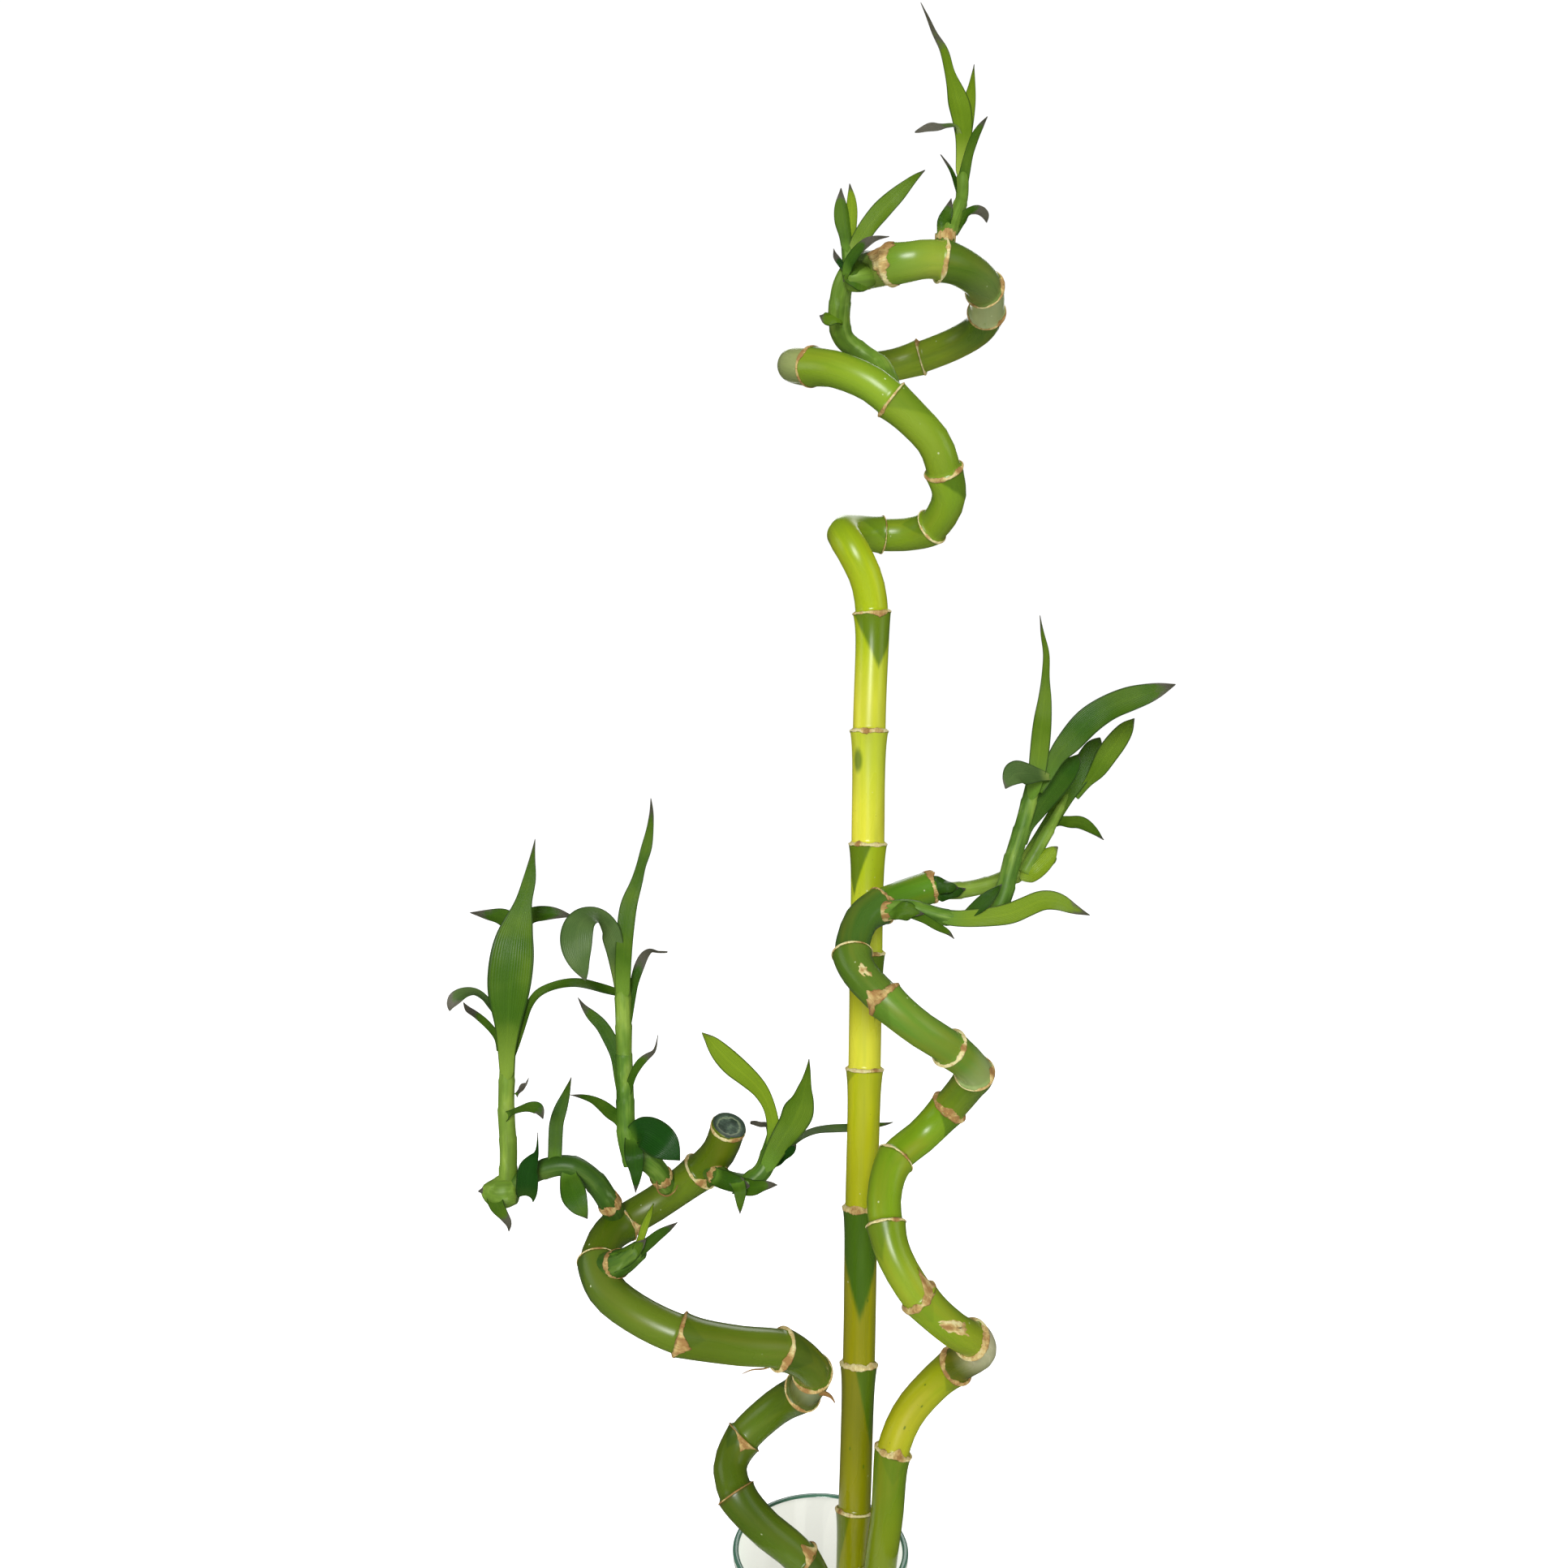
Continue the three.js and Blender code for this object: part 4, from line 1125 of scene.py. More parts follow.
def stem(rows, bright=0.0, collar=0.0, collar_width=1.8, collar_brown=0.7, joints=True, seed=0):
    """A round stem with a faint step at each leaf foot, and a dry collar this far up where it has one."""
    course = smooth_course(rows)
    length = course[1][-1] / MM

    def radius_at(distance):
        radius = along_course(course, min(max(distance, 0.0), length) * MM).w / MM
        if not joints:
            return radius
        step = ((distance + seed * 5) % STEM_JOINT_GAP) / STEM_JOINT_GAP
        return radius + STEM_JOINT_RISE * (step ** 3 - 0.35)

    count = max(4, ceil(length / STEM_STEP))
    profile = [(0.0, 0.0)]
    profile += [(radius_at(length * i / count) * MM, length * i / count * MM) for i in range(count)]
    profile += [(radius_at(length) * STEM_TIP * MM, length * MM), (0.0, (length + 0.5) * MM)]
    pole = turned_pole("stem", profile, STEM_SIDES)
    wear(pole, stem_skin)
    keep(pole, "leaf", [(bright, 0.0, seed)] * len(pole.data.vertices))
    if collar:
        look = (collar_width, collar_brown, 2.0, seed, 1.0)
        pole = join([pole, dry_band(collar, radius_at, look, 0.0, 1, seed)], "stem")
    keep(pole, "straight", [vertex.co + Vector((0, 0, seed * 0.1)) for vertex in pole.data.vertices])
    bend_along(pole, course)
    return pole


def stem_finish():
    """The young stems: waxy pale green with a whitish bloom and fine lines."""
    material = new_finish("waxy_stem", Specular_IOR_Level=0.22)
    straight = kept("straight")
    lines = grain(straight, (1400, 1400, 30), 3.0, 0.6)
    clouds = grain(straight, (150, 150, 60))
    sides = grain(straight, (420, 420, 26))
    colour = ramped(clouds, (0.3, "3c621a"), (0.5, "5a8224"), (0.7, "84a23c"))
    colour = over(colour, tone("365a18"), lines, 0.45, 0.7, 0.4)
    colour = over(colour, tone("3c5c1c"), sides, 0.5, 0.68, 0.55)
    colour = over(colour, tone("8cab50"), sides, 0.45, 0.3, 0.4)
    colour = swung(colour, kept_numbers("leaf")[0], "96ac40", "2c4c14")
    colour = over(colour, tone("9db884"), grain(straight, (260, 260, 120), 3.0), 0.6, 0.76, 0.25)
    rough = eased(clouds, 0.3, 0.7, 0.38, 0.55)
    set_shader(Base_Color=colour, Roughness=rough, Normal=relief(lines, 0.00003))
    return material


leaf_top = green_leaf("leaf_top", "375c10", "506f16", "5f8628", "5a554c", "1f380e")
leaf_under = green_leaf("leaf_under", "4a6432", "5c743e", "8aa04c", "6c685e", "344a24")
stem_skin = stem_finish()


def build_shoot(name, *parts):
    """Joins a shoot's stems and leaves into one piece."""
    shoot = join(parts, name + "_green")
    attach(shoot, "root")
    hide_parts(name)


# Inner shoot of the tall cane
# It leaves the back of the last turn, climbs in front of the cut end, and forks into a rolled bud and
# one long leaf.
build_shoot(
    "shoot_tall_inner",
    stem(((32, -10, 722, 4.6), (28, 2, 738, 4.6), (19, 6, 746, 4.7), (11, 3, 751.5, 4.8),
         (8.5, -3, 757, 5.1), (8.5, -11, 763, 4.9), (9.5, -18, 768, 4.4), (12, -23, 773, 3)), bright=0.25,
         seed=0.4),
    stem(((21, -18, 770.5, 4.6), (16.5, -21, 769, 5.8), (10, -22, 767.5, 4.6)), bright=0.3, joints=False,
         seed=1.1),
    stem(((12, -24, 769, 2.9), (11, -23, 780, 2.5), (10.6, -22.5, 789, 1.5)), bright=0.1, seed=2.3),
    leaf(((11, -7, 758, 8), (6, -9.5, 757, 8), (2, -10.5, 756, 5.5), (-0.8, -11, 756.5, 0)), (-1.2, -0.8),
         0.35, 0.6, wave=0.3, seed=56),
    leaf(((11, -25.6, 778, 4.4), (10.2, -25.4, 786, 5.6), (8.9, -25.2, 793, 7), (8.2, -25, 799, 5.6),
         (8.2, -25, 806.4, 0)), (-1.3, -0.9), -0.15, 0.7, seed=1),
    leaf(((12, -24.6, 779, 3.6), (12.6, -24, 788, 4.6), (13, -23.6, 798, 5), (12.8, -23, 804, 3.4),
         (12.1, -22, 809.9, 0)), (-1.2, -0.7), 0.75, 0.5, seed=2),
    leaf(((12.5, -23, 774, 4), (15, -25, 780.5, 7.2), (19.6, -26, 788.2, 8.8), (25.5, -28, 794.6, 9.8),
         (31, -30, 799.4, 8.2), (37, -31, 805, 5), (40.4, -32, 807.8, 3), (44, -32, 810.6, 0)), (1, 0.35),
         0.35, 0.3, foot=0.7, wave=0.06, seed=3),
    leaf(((10, -25, 768, 3), (11.8, -29, 771.8, 5.8), (14.8, -33, 774.4, 6.8), (18.3, -37, 776.4, 5.6),
         (22.4, -39, 777.8, 2.8), (27.9, -40, 778.3, 0)), (0.8, 0.5), -0.35, 1.5, seed=4),
    leaf(((22, -21.5, 771, 5), (18, -25.5, 772.6, 7.5), (13.5, -27, 771, 6.5), (10.4, -26, 767.6, 3),
         (9.2, -25, 765.6, 0)), (-1.2, -0.9), 0.15, 0.3, foot=0.4, wave=0.25, seed=59),
    leaf(((20.5, -21, 766.5, 5), (15.8, -25, 765.6, 6.5), (11.6, -25.5, 766.6, 4), (9, -25, 769, 0)),
         (-1.2, -0.9), -0.1, 0.2, wave=0.25, seed=60),
    leaf(((10.2, -24.5, 770, 2), (8, -25, 773.5, 2.6), (6, -25.5, 776.5, 2.4), (4.9, -25.5, 779.8, 0)),
         (0.9, 0.9), -0.8, 1.6, twist=1.2, seed=6)
)

# Outer shoot of the tall cane
# It stands on the front of the last turn, with a stump of old leaves at its foot and the plant's
# tallest leaf at its top.
build_shoot(
    "shoot_tall_outer",
    stem(((54, -21, 777, 4.6), (54, -22, 789, 4.1)), bright=0.2, collar=9.2, collar_width=3.8,
         collar_brown=0.6, seed=0.2),
    stem(((54, -22, 785, 3.6), (59, -20, 797, 3.2), (62, -18, 807, 2.8), (62, -16, 824, 2.3)), bright=0.25,
         seed=1.3),
    leaf(((53.3, -22, 788, 6.5), (53.3, -23, 792, 6.3), (54.7, -25, 796, 4.6), (56, -26, 801.4, 0)),
         (1.3, 0.9), 0, 0.9, foot=0.4, seed=7),
    leaf(((57.8, -19, 789, 4.6), (60, -20.5, 792.8, 5.2), (63, -23, 795.4, 5.8), (65.6, -26, 795.8, 6.2),
         (68.2, -28, 794.4, 5.6), (70, -30, 791.6, 3.6), (70.5, -31, 788.4, 0)), (1.2, 0.5), -0.2, 1.5,
         seed=8),
    leaf(((60.5, -17, 806, 4.4), (59.2, -16, 812.5, 4.2), (57.6, -14, 819.1, 3.8), (55.4, -12, 824.5, 2.8),
         (53.5, -10, 829.1, 0)), (1.2, 0.6), -0.4, 1.2, face=SIDEWAYS, seed=9),
    leaf(((61.7, -16, 803, 5), (61.9, -16.5, 809.4, 5), (63, -19, 816.5, 4.8), (64.3, -22, 822.7, 4.1),
         (66.5, -26, 828.3, 4), (68.8, -29, 831.5, 2.8), (70.7, -32, 833.6, 0)), (1.3, 0.5), -0.1, 0.5,
         seed=10),
    leaf(((61.3, -18.7, 813.4, 4.8), (62, -18.6, 824.2, 5.8), (62.7, -17, 832.8, 7.4),
         (62.2, -15, 842, 9.4), (61, -13, 850, 10.1), (59.7, -12, 856.4, 8), (57.5, -10, 865.5, 4.8),
         (55.2, -8, 876.9, 4), (51.4, -6, 885.5, 2.4), (48.6, -4, 894.1, 1.4), (45.4, -3, 902, 0)),
         (-1.2, 0.45), 0.45, 1, foot=1, wave=0.08, seed=11),
    leaf(((63.5, -15, 822, 3), (64.6, -14, 833.6, 4), (65.6, -12, 844.8, 5.4), (66.6, -10, 853.5, 5.2),
         (67.9, -8, 861.5, 3), (69.2, -6, 872, 0)), (1, 0.5), 0.55, 0.3, seed=12),
    leaf(((61.5, -16, 833, 2.4), (59, -18, 836.9, 2.6), (54, -22, 834.8, 4), (49.8, -27, 831.6, 4.9),
         (44.6, -32, 828, 4.2), (40.1, -35, 825.1, 1.8), (39, -36, 824.4, 0)), (0.8, 0.5), -0.1, 2.2,
         wave=0.2, turned=True, seed=13)
)

# Leafy shoot of the right cane
# The largest shoot: its stem runs out level from the cane's last bend, then turns up, with long
# strap leaves that fan out to the right.
build_shoot(
    "shoot_right_leafy",
    stem(((24, -15, 490, 4.4), (37, -22, 493, 4), (56, -24, 489, 3.6), (75, -24, 490, 3.2)), bright=-0.1,
         collar=5, collar_width=6, seed=0.9),
    stem(((73, -24, 489.5, 3), (77.5, -24, 495, 3.9), (83, -22, 513, 3.9), (89, -20, 532, 3.5),
         (94, -20, 552, 3.3)), bright=-0.2, seed=2.1),
    leaf(((29, -23, 490.5, 7), (33, -26, 492.4, 8.2), (38, -27.5, 492.6, 7), (44, -28, 491, 0)),
         (-1.1, -0.6), 0.1, 0.6, wave=0.7, seed=61),
    leaf(((36, -23, 492.5, 6), (38.5, -25, 491.4, 5.5), (44.4, -28, 488.7, 4), (49.3, -31, 485.9, 3.6),
         (53.4, -34, 483.9, 2.4), (55.9, -36, 481.4, 0)), (1.3, 0.5), 0.1, 0.5, seed=14),
    leaf(((50, -26.4, 489.8, 5.6), (60, -27.8, 489.1, 7.4), (72.8, -29, 489.9, 8.6),
         (81, -30.5, 491.6, 9.4), (87.4, -32, 494.6, 9), (93.9, -34, 497.5, 8.8), (99.7, -36, 497.2, 8),
         (105.8, -38, 494.4, 4.9), (112.9, -39, 491.8, 0)), (-1.1, 0.4), 0.6, 0.45, wave=0.05, seed=15),
    leaf(((62, -25, 490, 3), (66, -27, 493, 5.6), (70, -28, 496.5, 6.4), (74, -28.5, 500.5, 4),
         (77.5, -28.5, 504, 0)), (1.3, 0.8), -0.6, 0.2, seed=16),
    leaf(((99.4, -22, 550.1, 3), (93.7, -27, 551.2, 6.3), (87.2, -33, 551.8, 10.4),
         (81.9, -37, 551.6, 11.5), (78.8, -39, 549, 7.5), (76.8, -40, 545.2, 0)), (0.9, 0.3), -0.35, 0.3,
         turned=True, seed=17),
    leaf(((90.9, -23, 540, 5.6), (93.2, -23.8, 549.4, 7), (94.4, -22.5, 556.6, 8.2),
         (96.3, -19, 568.1, 8.6), (97.8, -16, 576.4, 7.9), (98.9, -15, 584.7, 6.1), (99.5, -14, 594.5, 3.7),
         (100.3, -12, 605.6, 2.9), (98.9, -11, 614, 1.8), (98, -10, 623, 0)), (-1.1, 0.5), 0.3, 0.35,
         wave=0.04, seed=18),
    leaf(((95, -20, 544, 4), (98.8, -20.5, 550.5, 5), (103.1, -20.5, 559.4, 8), (108.5, -21, 565.8, 10.9),
         (115.8, -23, 574.2, 12.2), (124.1, -25, 580.1, 11.9), (132.8, -28, 583.8, 11.6),
         (140.2, -30, 586.1, 9.2), (145.5, -32, 588, 5.7), (150.8, -34, 589.9, 0)), (1.2, 0.35), -0.3, 0.42,
         wave=0.05, seed=19),
    leaf(((88, -19, 521, 4.5), (90.5, -18.5, 528, 5), (95.2, -17, 535.1, 7.5), (99.9, -15, 541.5, 9.8),
         (104.7, -13, 547.3, 10.8), (109.9, -11, 553.1, 9.6), (113.8, -10, 557.8, 5.6),
         (115.8, -9, 560.8, 0)), (1.1, 0.4), -0.5, 0.15, seed=20)
)

# End shoot of the right cane
# It goes on from beside the cut end, passes behind the leafy shoot and turns up at a fat bud.
build_shoot(
    "shoot_right_end",
    stem(((47, -5, 501, 4.4), (59, -4, 499, 4), (74, -2, 501, 3.7), (91, 0, 507, 4.1), (102, 2, 512.5, 4.9),
         (107, 2.5, 515, 3.4)), bright=0.45, seed=1.7),
    leaf(((47, -9, 502, 8), (52, -11, 502, 8), (57, -12, 501.5, 6.5), (61.5, -11, 501, 0)), (-1.1, -0.6),
         -0.6, 0.4, wave=0.7, seed=57),
    leaf(((50, -9, 498, 5), (55, -11.5, 498.5, 6.4), (60, -11, 499, 5), (65, -9, 500.5, 0)), (-1.1, -0.6),
         -0.7, 0.5, wave=0.8, seed=58),
    leaf(((90, -5, 504.5, 7.5), (96, -7, 509, 9.6), (101.5, -6.5, 514, 8.8), (105, -6, 517.5, 4.6),
         (107, -6, 519, 0)), (-1.3, -1.1), 0.8, 0.3, foot=0.6, seed=21),
    leaf(((91.5, -3, 507, 6.1), (93.5, -3, 512.6, 6.5), (99.8, -0.3, 521.7, 6.6), (106.6, 2.2, 531.7, 6.8),
         (113.8, 5, 542.1, 7.2), (119.7, 6, 551.4, 9.6), (123.8, 6, 558.9, 10.5), (127.2, 6, 565.6, 7.5),
         (129.1, 5, 568.8, 0)), (-1.2, 0.6), 0.05, 0.15, foot=0.7, seed=22),
    leaf(((118, 6, 541, 3), (122.9, 4, 547.7, 4), (126.8, 2, 553.2, 7.4), (130.7, 0, 560.6, 9.6),
         (135, -2, 567.2, 9.4), (138.8, -4, 573, 6.6), (141.5, -6, 577, 0)), (0.9, 0.4), 0.35, 0.2,
         wave=0.06, seed=23),
    leaf(((106, 6, 528.5, 4.5), (109.8, 3, 530.1, 4.7), (113.5, -1, 529.8, 6.1), (117.3, -6, 529.4, 6.7),
         (121.2, -11, 526.6, 4.4), (125, -16, 522.5, 0)), (1, 0.5), -0.1, 0.4, seed=24),
    stem(((92, -4, 507, 3.2), (101, -2.5, 522, 2.9), (108, 1, 533, 2.2), (114, 5.5, 542.5, 1)), bright=0.3,
         seed=0.6)
)

# Outer shoot of the left cane
# It arches out level from the highest bend to a knuckle, and there a straight stem climbs to the
# plant's broadest leaf.
build_shoot(
    "shoot_left_outer",
    stem(((-93, -4, 352, 5.2), (-95, -13, 362, 5), (-101, -16, 372, 4.8), (-111, -18, 379, 4.6),
         (-124, -18, 377, 4.4), (-139, -18, 368, 4.4)), bright=-0.6, collar=12, collar_width=3.4, seed=0.3),
    stem(((-134, -18, 368, 5.5), (-138, -18, 368, 7.2), (-144, -19, 368, 6.4), (-149, -20, 369.5, 2.4)),
         bright=0.3, joints=False, seed=1.5),
    stem(((-139, -18, 364, 4.1), (-138, -18, 384, 3.9), (-139, -18, 404, 3.7), (-138, -18, 436, 3.3)),
         bright=0.35, seed=2.2),
    leaf(((-144, -21, 369, 5), (-147.5, -22, 369.5, 4), (-150.5, -21.5, 369, 0)), (-1.2, -0.9), -0.4, 3,
         seed=62),
    leaf(((-129.2, -20, 366.4, 7), (-128.6, -22, 369.6, 9.4), (-128, -24, 375, 9.8),
         (-127.4, -25, 380, 9.2), (-125.2, -26, 384.6, 5.6), (-123.6, -27, 388, 1.8),
         (-123.2, -27, 396.5, 0)), (1.3, 0.6), -0.9, 0.3, foot=-0.9, seed=25),
    leaf(((-143, -20, 369, 6.6), (-142.6, -23, 366.4, 7), (-140.6, -26, 363.9, 6.4),
         (-137.4, -29, 361.3, 4.4), (-134.8, -31, 358.4, 2.8), (-134.6, -32, 355.3, 0)), (1.3, 0.5), -0.2,
         1.2, seed=26),
    leaf(((-110.5, -20, 379, 6), (-110.5, -22, 375.9, 7.6), (-109.1, -25, 373, 10),
         (-107.1, -28, 369.5, 11.2), (-104.6, -30, 365.7, 8.4), (-102.4, -31, 362.9, 4.2),
         (-100.8, -32, 360.8, 0)), (1.2, 0.4), -0.1, 0.3, seed=27),
    leaf(((-117.3, -19, 379, 6.2), (-117.3, -18, 385, 6.3), (-117.5, -16, 391.4, 6.5),
         (-117.4, -14, 397, 6.5), (-116.1, -12, 402.2, 6.1), (-114.3, -10, 407.8, 4),
         (-112.1, -8, 415.7, 0)), (1.3, 0.6), -0.35, 0.35, seed=28),
    leaf(((-138, -20, 401.5, 4.5), (-135.4, -24, 404.1, 2.6), (-130.1, -27, 406.7, 3),
         (-125.3, -30, 408.3, 4.5), (-122.2, -31, 407.9, 5.2), (-120.7, -32, 406.1, 3.1),
         (-119.7, -33, 403.9, 0)), (1.3, 0.5), -0.4, 0.6, seed=29),
    leaf(((-138.4, -21, 416, 6), (-138, -22, 430, 8), (-137.3, -22, 441, 11.4), (-136.8, -21.5, 457, 18.9),
         (-135.7, -20.5, 470, 19.8), (-134.9, -19, 479, 17.4), (-133.2, -18, 487, 13),
         (-131.7, -16, 495, 7.8), (-129.6, -14, 504.5, 6.2), (-128.8, -12, 514, 2.7),
         (-128, -10, 522.8, 0)), (-1.25, 0.32), 0.1, 0.3, foot=0.5, wave=0.03, seed=30),
    leaf(((-139.2, -15, 437, 4), (-139.4, -11, 449, 4.4), (-138.9, -6, 469, 5), (-139.9, 0, 481, 7.5),
         (-145.4, 3, 485.9, 9), (-152.3, 5, 486.8, 6.4), (-161.6, 6, 488, 0)), (0.9, 0.5), -0.4, 0.5,
         face=UPWARD, seed=31),
    leaf(((-138.4, -15, 436, 4), (-138, -11, 448, 4.4), (-137.6, -5, 468.8, 5), (-137.2, 1, 480.9, 8),
         (-132.4, 3, 486.4, 9.4), (-127, 4, 487.2, 9), (-121.4, 4, 487.4, 6.6), (-113, 4, 486.4, 0)),
         (0.9, 0.5), -0.1, 0.5, face=UPWARD, seed=32),
    leaf(((-142, -17, 444, 4), (-145.1, -20, 449.5, 3), (-147.7, -23, 454.2, 3.4), (-151.1, -26, 457, 4.4),
         (-154.5, -29, 457, 6), (-157.5, -31, 455, 7.2), (-159.3, -32, 452.5, 4.4),
         (-159.7, -33, 450.1, 0)), (1.1, 0.5), -0.2, 0.7, face=UPWARD, turned=True, seed=33),
    leaf(((-141, -17, 430, 4.5), (-143, -16, 434.5, 3), (-146.7, -13, 438.2, 3.2), (-151, -10, 441.2, 3.3),
         (-155.8, -7, 443.9, 2.9), (-159.6, -5, 445.7, 2.5), (-161.8, -4, 448.5, 0)), (1.1, 0.6), -0.35,
         1.2, wave=0.3, seed=34),
    leaf(((-137, -19, 425, 4), (-134.4, -19.5, 431.6, 3.4), (-131.2, -20, 441.6, 3.6),
         (-128.5, -21, 449.3, 4), (-124, -22, 455.6, 4.4), (-118, -20, 458.3, 4.4), (-112, -17, 459.1, 5),
         (-106.3, -12, 457.9, 5.8), (-100.2, -7, 455.4, 5.3), (-93.4, -4, 453, 4.4), (-89.5, -2, 451.4, 3),
         (-87.5, -2, 450.6, 0)), (1.2, 0.6), 0, 0, face=UPWARD, seed=35),
    leaf(((-134.6, -18, 410, 2), (-132, -20, 413, 3), (-129.5, -21, 415.5, 2.6), (-128.5, -21, 418.5, 0)),
         (0.9, 0.9), -1, 3, wave=0.5, twist=1.5, seed=36)
)

# Middle shoot of the left cane
# It turns up from a dry collar beside the cut end. Its stem ends in a long rolled leaf, and one broad
# leaf arches over and hangs.
build_shoot(
    "shoot_left_middle",
    stem(((-70, 0, 364, 4.8), (-75, -9, 376, 4.8), (-82, -12, 383, 4.6), (-87, -12, 390, 4.3)), bright=-0.3,
         collar=7.4, collar_width=3, seed=0.8),
    stem(((-84.5, -14.5, 378, 3.2), (-86.6, -13, 390, 4.2), (-87.5, -12, 411, 4), (-88, -12, 428, 3.9)),
         bright=-0.1, seed=1.9),
    stem(((-87.8, -12, 420, 3.4), (-88, -12, 434, 3.7), (-88.5, -12, 462, 3.5), (-88.3, -12, 484, 2.4)),
         bright=0.25, seed=1.2),
    leaf(((-83.5, -14, 392, 6), (-82.8, -17, 389.2, 8.2), (-82.1, -21, 384.4, 8.6),
         (-81.2, -22, 379.1, 6.4), (-81.1, -23, 374.1, 3.6), (-81.4, -23, 368.8, 0)), (1.3, 0.6), -0.55,
         0.5, seed=37),
    leaf(((-85, -14, 389, 6), (-82.2, -17, 393, 9), (-78.1, -21, 395, 13), (-73.1, -25, 394, 15),
         (-68.2, -28, 391.4, 14), (-64.6, -29, 388.4, 8.7), (-61.3, -30, 385.2, 0)), (1.2, 0.35), -0.95,
         0.1, seed=38),
    leaf(((-88, -12, 395, 5), (-90.4, -13, 398.5, 5.2), (-93.3, -15, 401.6, 5.8), (-96.7, -18, 405.6, 5),
         (-100.5, -21, 409, 3.3), (-104.8, -23, 410.9, 2), (-109.9, -24, 411.9, 0)), (1.2, 0.5), -0.3, 0.6,
         seed=39),
    leaf(((-88, -13, 404, 4.5), (-86, -14, 410.4, 3.6), (-83.5, -16, 418.1, 3.4),
         (-80.4, -17.5, 423.7, 3.9), (-77.1, -18.5, 427.1, 3.2), (-73.7, -19, 429.8, 1.5),
         (-71.9, -20, 437.2, 0)), (1.2, 0.5), -0.2, 1.2, seed=40),
    leaf(((-88, -13, 408, 5), (-89.7, -13, 415.6, 4.6), (-91.5, -11, 426, 5.4), (-94.6, -9, 432.8, 6.2),
         (-98.8, -7, 438.8, 5.6), (-103.4, -6, 443, 4.7), (-107.2, -5, 446.8, 2.2), (-109.9, -4, 450.7, 0)),
         (1.2, 0.5), -0.2, 0.6, seed=41),
    leaf(((-88.3, -15.1, 450, 6.4), (-87.8, -15.7, 466.2, 7.4), (-86.9, -15, 480.7, 7.8),
         (-85.5, -13, 493.3, 7.8), (-82.4, -11, 503, 5.6), (-80.7, -9, 510.2, 4.4), (-78.4, -7, 518.4, 5.1),
         (-77, -6, 526.8, 3.3), (-76.4, -5, 534.8, 1.8), (-76.9, -4, 541, 0)), (-1.3, 0.6), 0.15, 0.4,
         foot=0.25, seed=42),
    leaf(((-89, -11, 455, 6), (-90.2, -12, 464, 7), (-91.8, -16, 476, 8.6), (-94.3, -21, 485.5, 10),
         (-99, -26, 490.2, 10.8), (-103.4, -31, 488.4, 13.4), (-105, -34, 483, 14.4),
         (-104.7, -36, 477, 13), (-103.4, -37, 471.3, 9), (-101.7, -37, 467, 4.8), (-100.7, -37, 463.6, 0)),
         (1.2, 0.3), -0.1, 0.15, face=UPWARD, turned=True, seed=43),
    leaf(((-88, -12, 434, 4.5), (-86.1, -12, 440.9, 3.6), (-84.8, -11.5, 449.8, 3.7),
         (-83.5, -10.5, 457.9, 4), (-81.4, -9.5, 465.1, 5), (-79.1, -8, 470.2, 4.4),
         (-76.6, -6, 472.3, 2.6), (-74.2, -5, 471.4, 1.2), (-71.7, -4, 471.2, 1.2),
         (-69.2, -4, 471.2, 0.8)), (1.1, 0.5), -0.3, 1.3, face=UPWARD, seed=44)
)

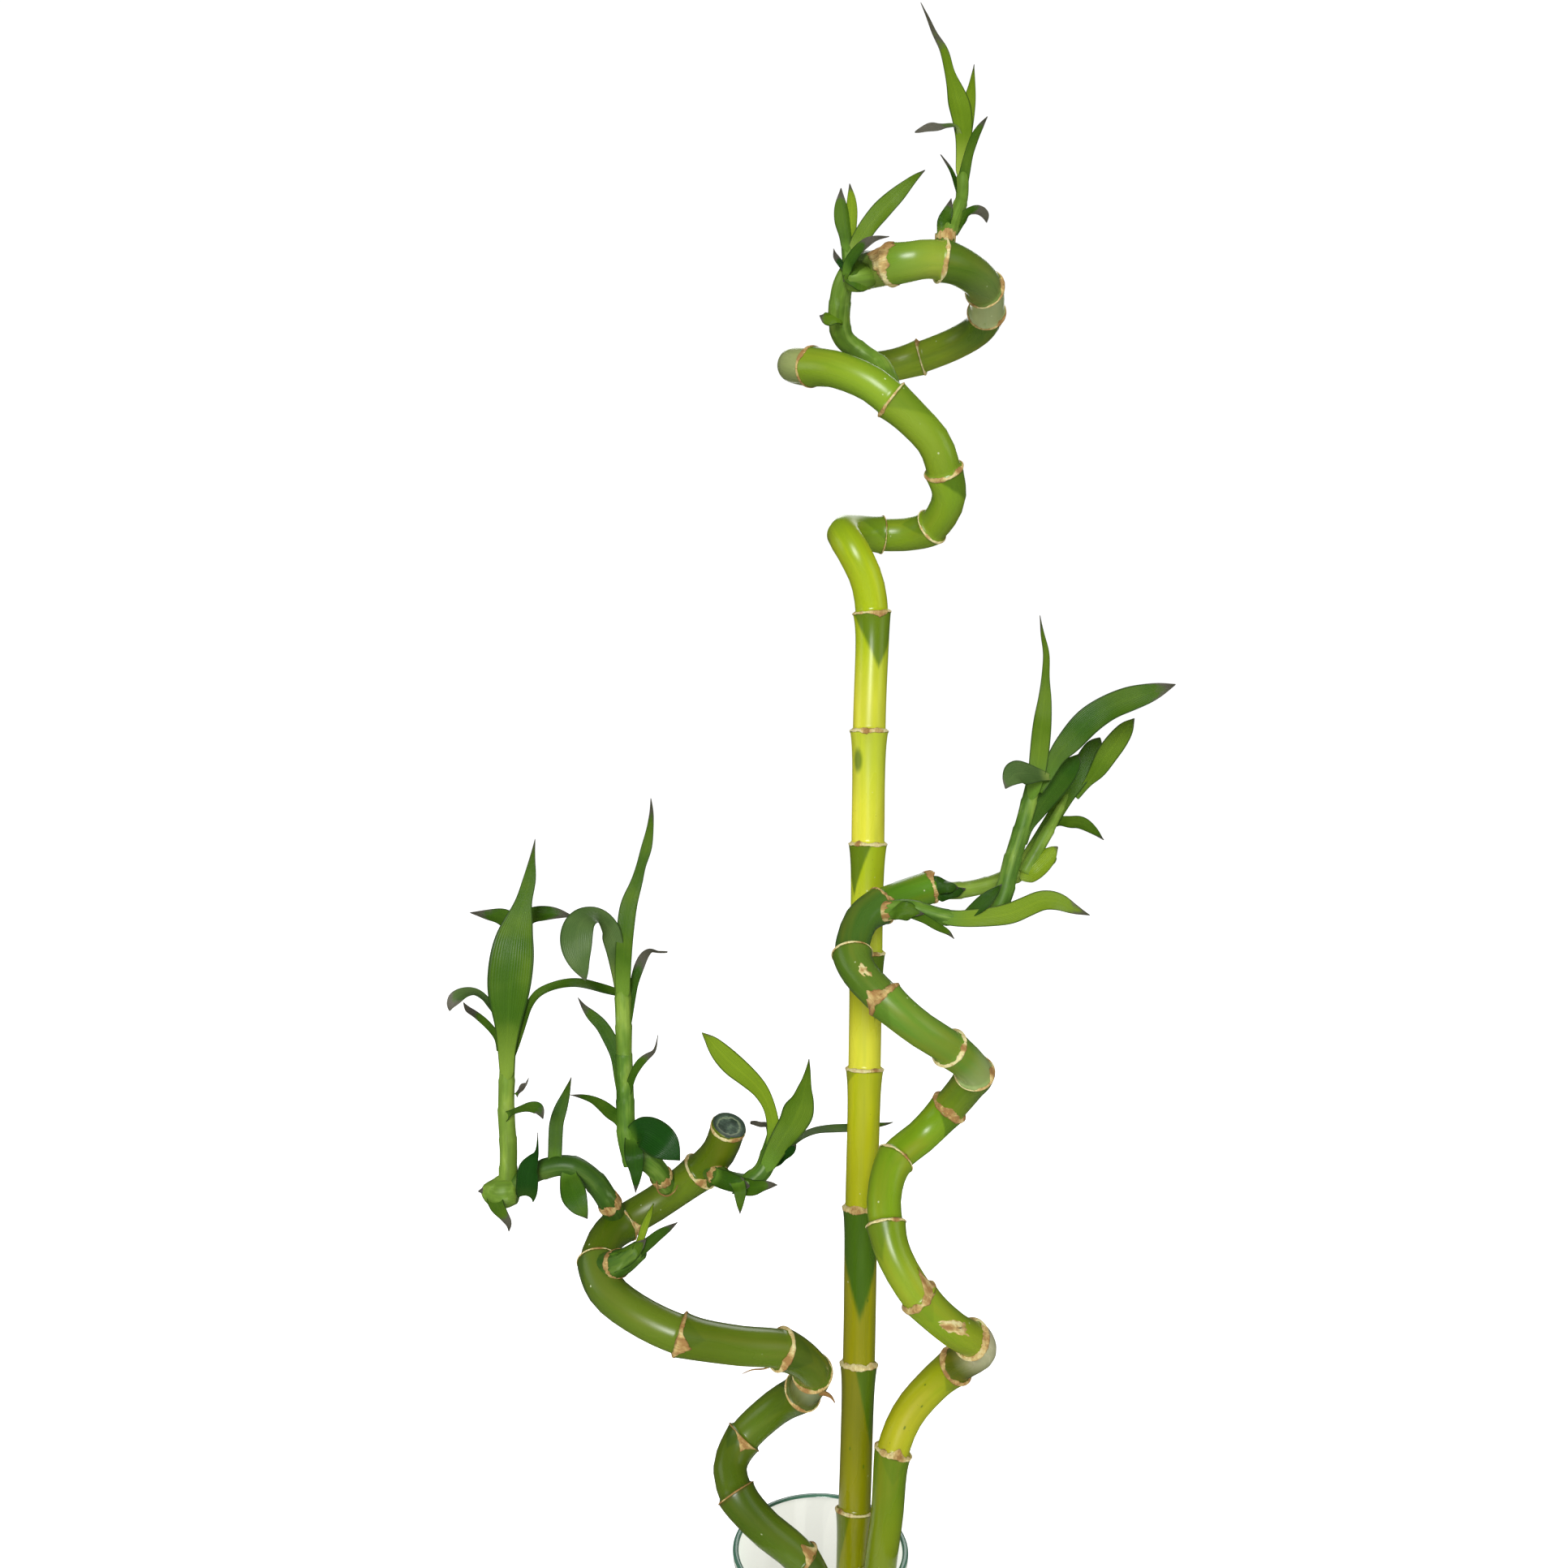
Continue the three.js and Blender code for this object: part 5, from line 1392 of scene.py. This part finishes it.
# Inner shoot of the left cane
# It comes out below the cut end, wrapped in two old scales, and opens in front of the tall cane with
# one leaf passing behind it.
build_shoot(
    "shoot_left_inner",
    stem(((-51, -3, 373, 4.6), (-42, -13, 371, 4.4), (-31, -17, 370, 4.2)), bright=-0.5, collar=7.4,
         collar_width=3, seed=0.5),
    stem(((-34, -17, 370, 4.2), (-26, -15, 376, 4.2), (-22.5, -12, 385, 3.8), (-20.5, -10, 395, 2.4)),
         bright=-0.2, seed=1.4),
    leaf(((-22.5, -15.5, 384, 6.4), (-21.2, -15.5, 393.4, 6), (-23, -15.5, 403.9, 5.6),
         (-27, -16.5, 411.9, 7.2), (-32.7, -19, 418.4, 8.9), (-39.4, -21, 424.6, 10),
         (-44.3, -23, 430.1, 8.8), (-48.4, -24, 435.2, 5.6), (-52.4, -25, 439.3, 0)), (-1.1, 0.35), 0.7,
         0.15, seed=45),
    leaf(((-22, -13, 389, 4), (-24, -15, 396, 2.2), (-27, -18, 397.2, 2.2), (-29.6, -19, 398.2, 2),
         (-31.5, -20, 398.6, 1.2)), (1, 1), -1, 2.6, seed=46),
    leaf(((-25.6, -18.7, 376, 6.2), (-21.6, -17.5, 383.5, 8.4), (-17.6, -16.5, 390, 10.4),
         (-12.9, -16, 396.8, 12.6), (-9.9, -16.5, 403.2, 14), (-8.3, -17, 408, 10.6),
         (-7.6, -18, 412.6, 7.2), (-6.8, -19, 416.6, 4.6), (-6, -20, 422, 2.2), (-5.6, -21, 427.1, 0)),
         (-0.9, 0.5), 0.3, 0.2, wave=0.08, seed=47),
    leaf(((-18, -12, 384, 3), (-14.4, -11, 385.4, 3), (-9.6, -4, 387, 3.4), (-2.7, 8, 386.4, 4.2),
         (6.1, 20, 383.9, 5.2), (16.2, 29, 381.8, 4.7), (26.3, 34, 381.5, 3.2), (33.2, 36, 381.7, 1.6),
         (36.9, 37, 382.4, 0)), (0.9, 0.4), 0, 0.3, face=SKYWARD, seed=48),
    leaf(((-22, -15, 378, 3), (-18.1, -16, 380, 3), (-15.9, -19, 383.4, 3.8), (-13.8, -21, 385.9, 4.2),
         (-12, -22, 388.3, 2.8), (-11.3, -23, 390, 0)), (0.9, 0.6), -0.9, 0.3, face=UPWARD, seed=49),
    leaf(((-37, -20, 372.5, 7), (-35.8, -23, 369.9, 6), (-35.7, -24, 367, 4.6), (-35.7, -25, 363.8, 2.6),
         (-35.7, -25, 360.3, 0)), (1.3, 0.6), 0.1, 0.5, seed=50),
    leaf(((-38, -18, 370.5, 7.5), (-30.1, -21.5, 370.6, 7), (-25.8, -24, 372.3, 4.8),
         (-22.3, -25, 373, 2.8), (-19.4, -25, 373, 0)), (1.4, 0.8), 0, 0.8, seed=51),
    leaf(((-47, -14, 373, 7.5), (-41, -19, 372.5, 8), (-35, -21, 371.5, 6), (-31.5, -22, 371.5, 0)),
         (1.4, 1), -0.4, 0.8, seed=52)
)

# Short shoot of the left cane
# A young shoot, still a stub of scales, that lies against the cane with a bright rolled leaf.
build_shoot(
    "shoot_left_short",
    stem(((-95, -26, 338, 5.9), (-86, -34, 343, 5.6), (-77, -40, 351, 3.8)), bright=-0.5, collar=9.5,
         collar_width=3.6, collar_brown=0.9, seed=0.1),
    leaf(((-84, -37, 345, 8), (-79, -40, 350, 7), (-73.6, -41, 354, 5), (-69.2, -42, 357.9, 4.3),
         (-65, -43.5, 361.1, 2.8), (-61, -45, 364.3, 0)), (1.4, 0.6), -0.5, 0.6, seed=53),
    leaf(((-79, -41, 351, 3), (-76.8, -42, 356, 3), (-75.2, -41, 361, 3.4), (-73.4, -39, 365.4, 2.5),
         (-71.9, -37, 369.5, 0)), (1.3, 0.8), 0.9, 0, seed=54),
    leaf(((-88, -35, 344, 8), (-82, -40, 348.5, 7.6), (-77.5, -42, 353, 5), (-74.5, -43, 356.5, 0)),
         (1.4, 0.9), -0.2, 0.5, seed=55)
)
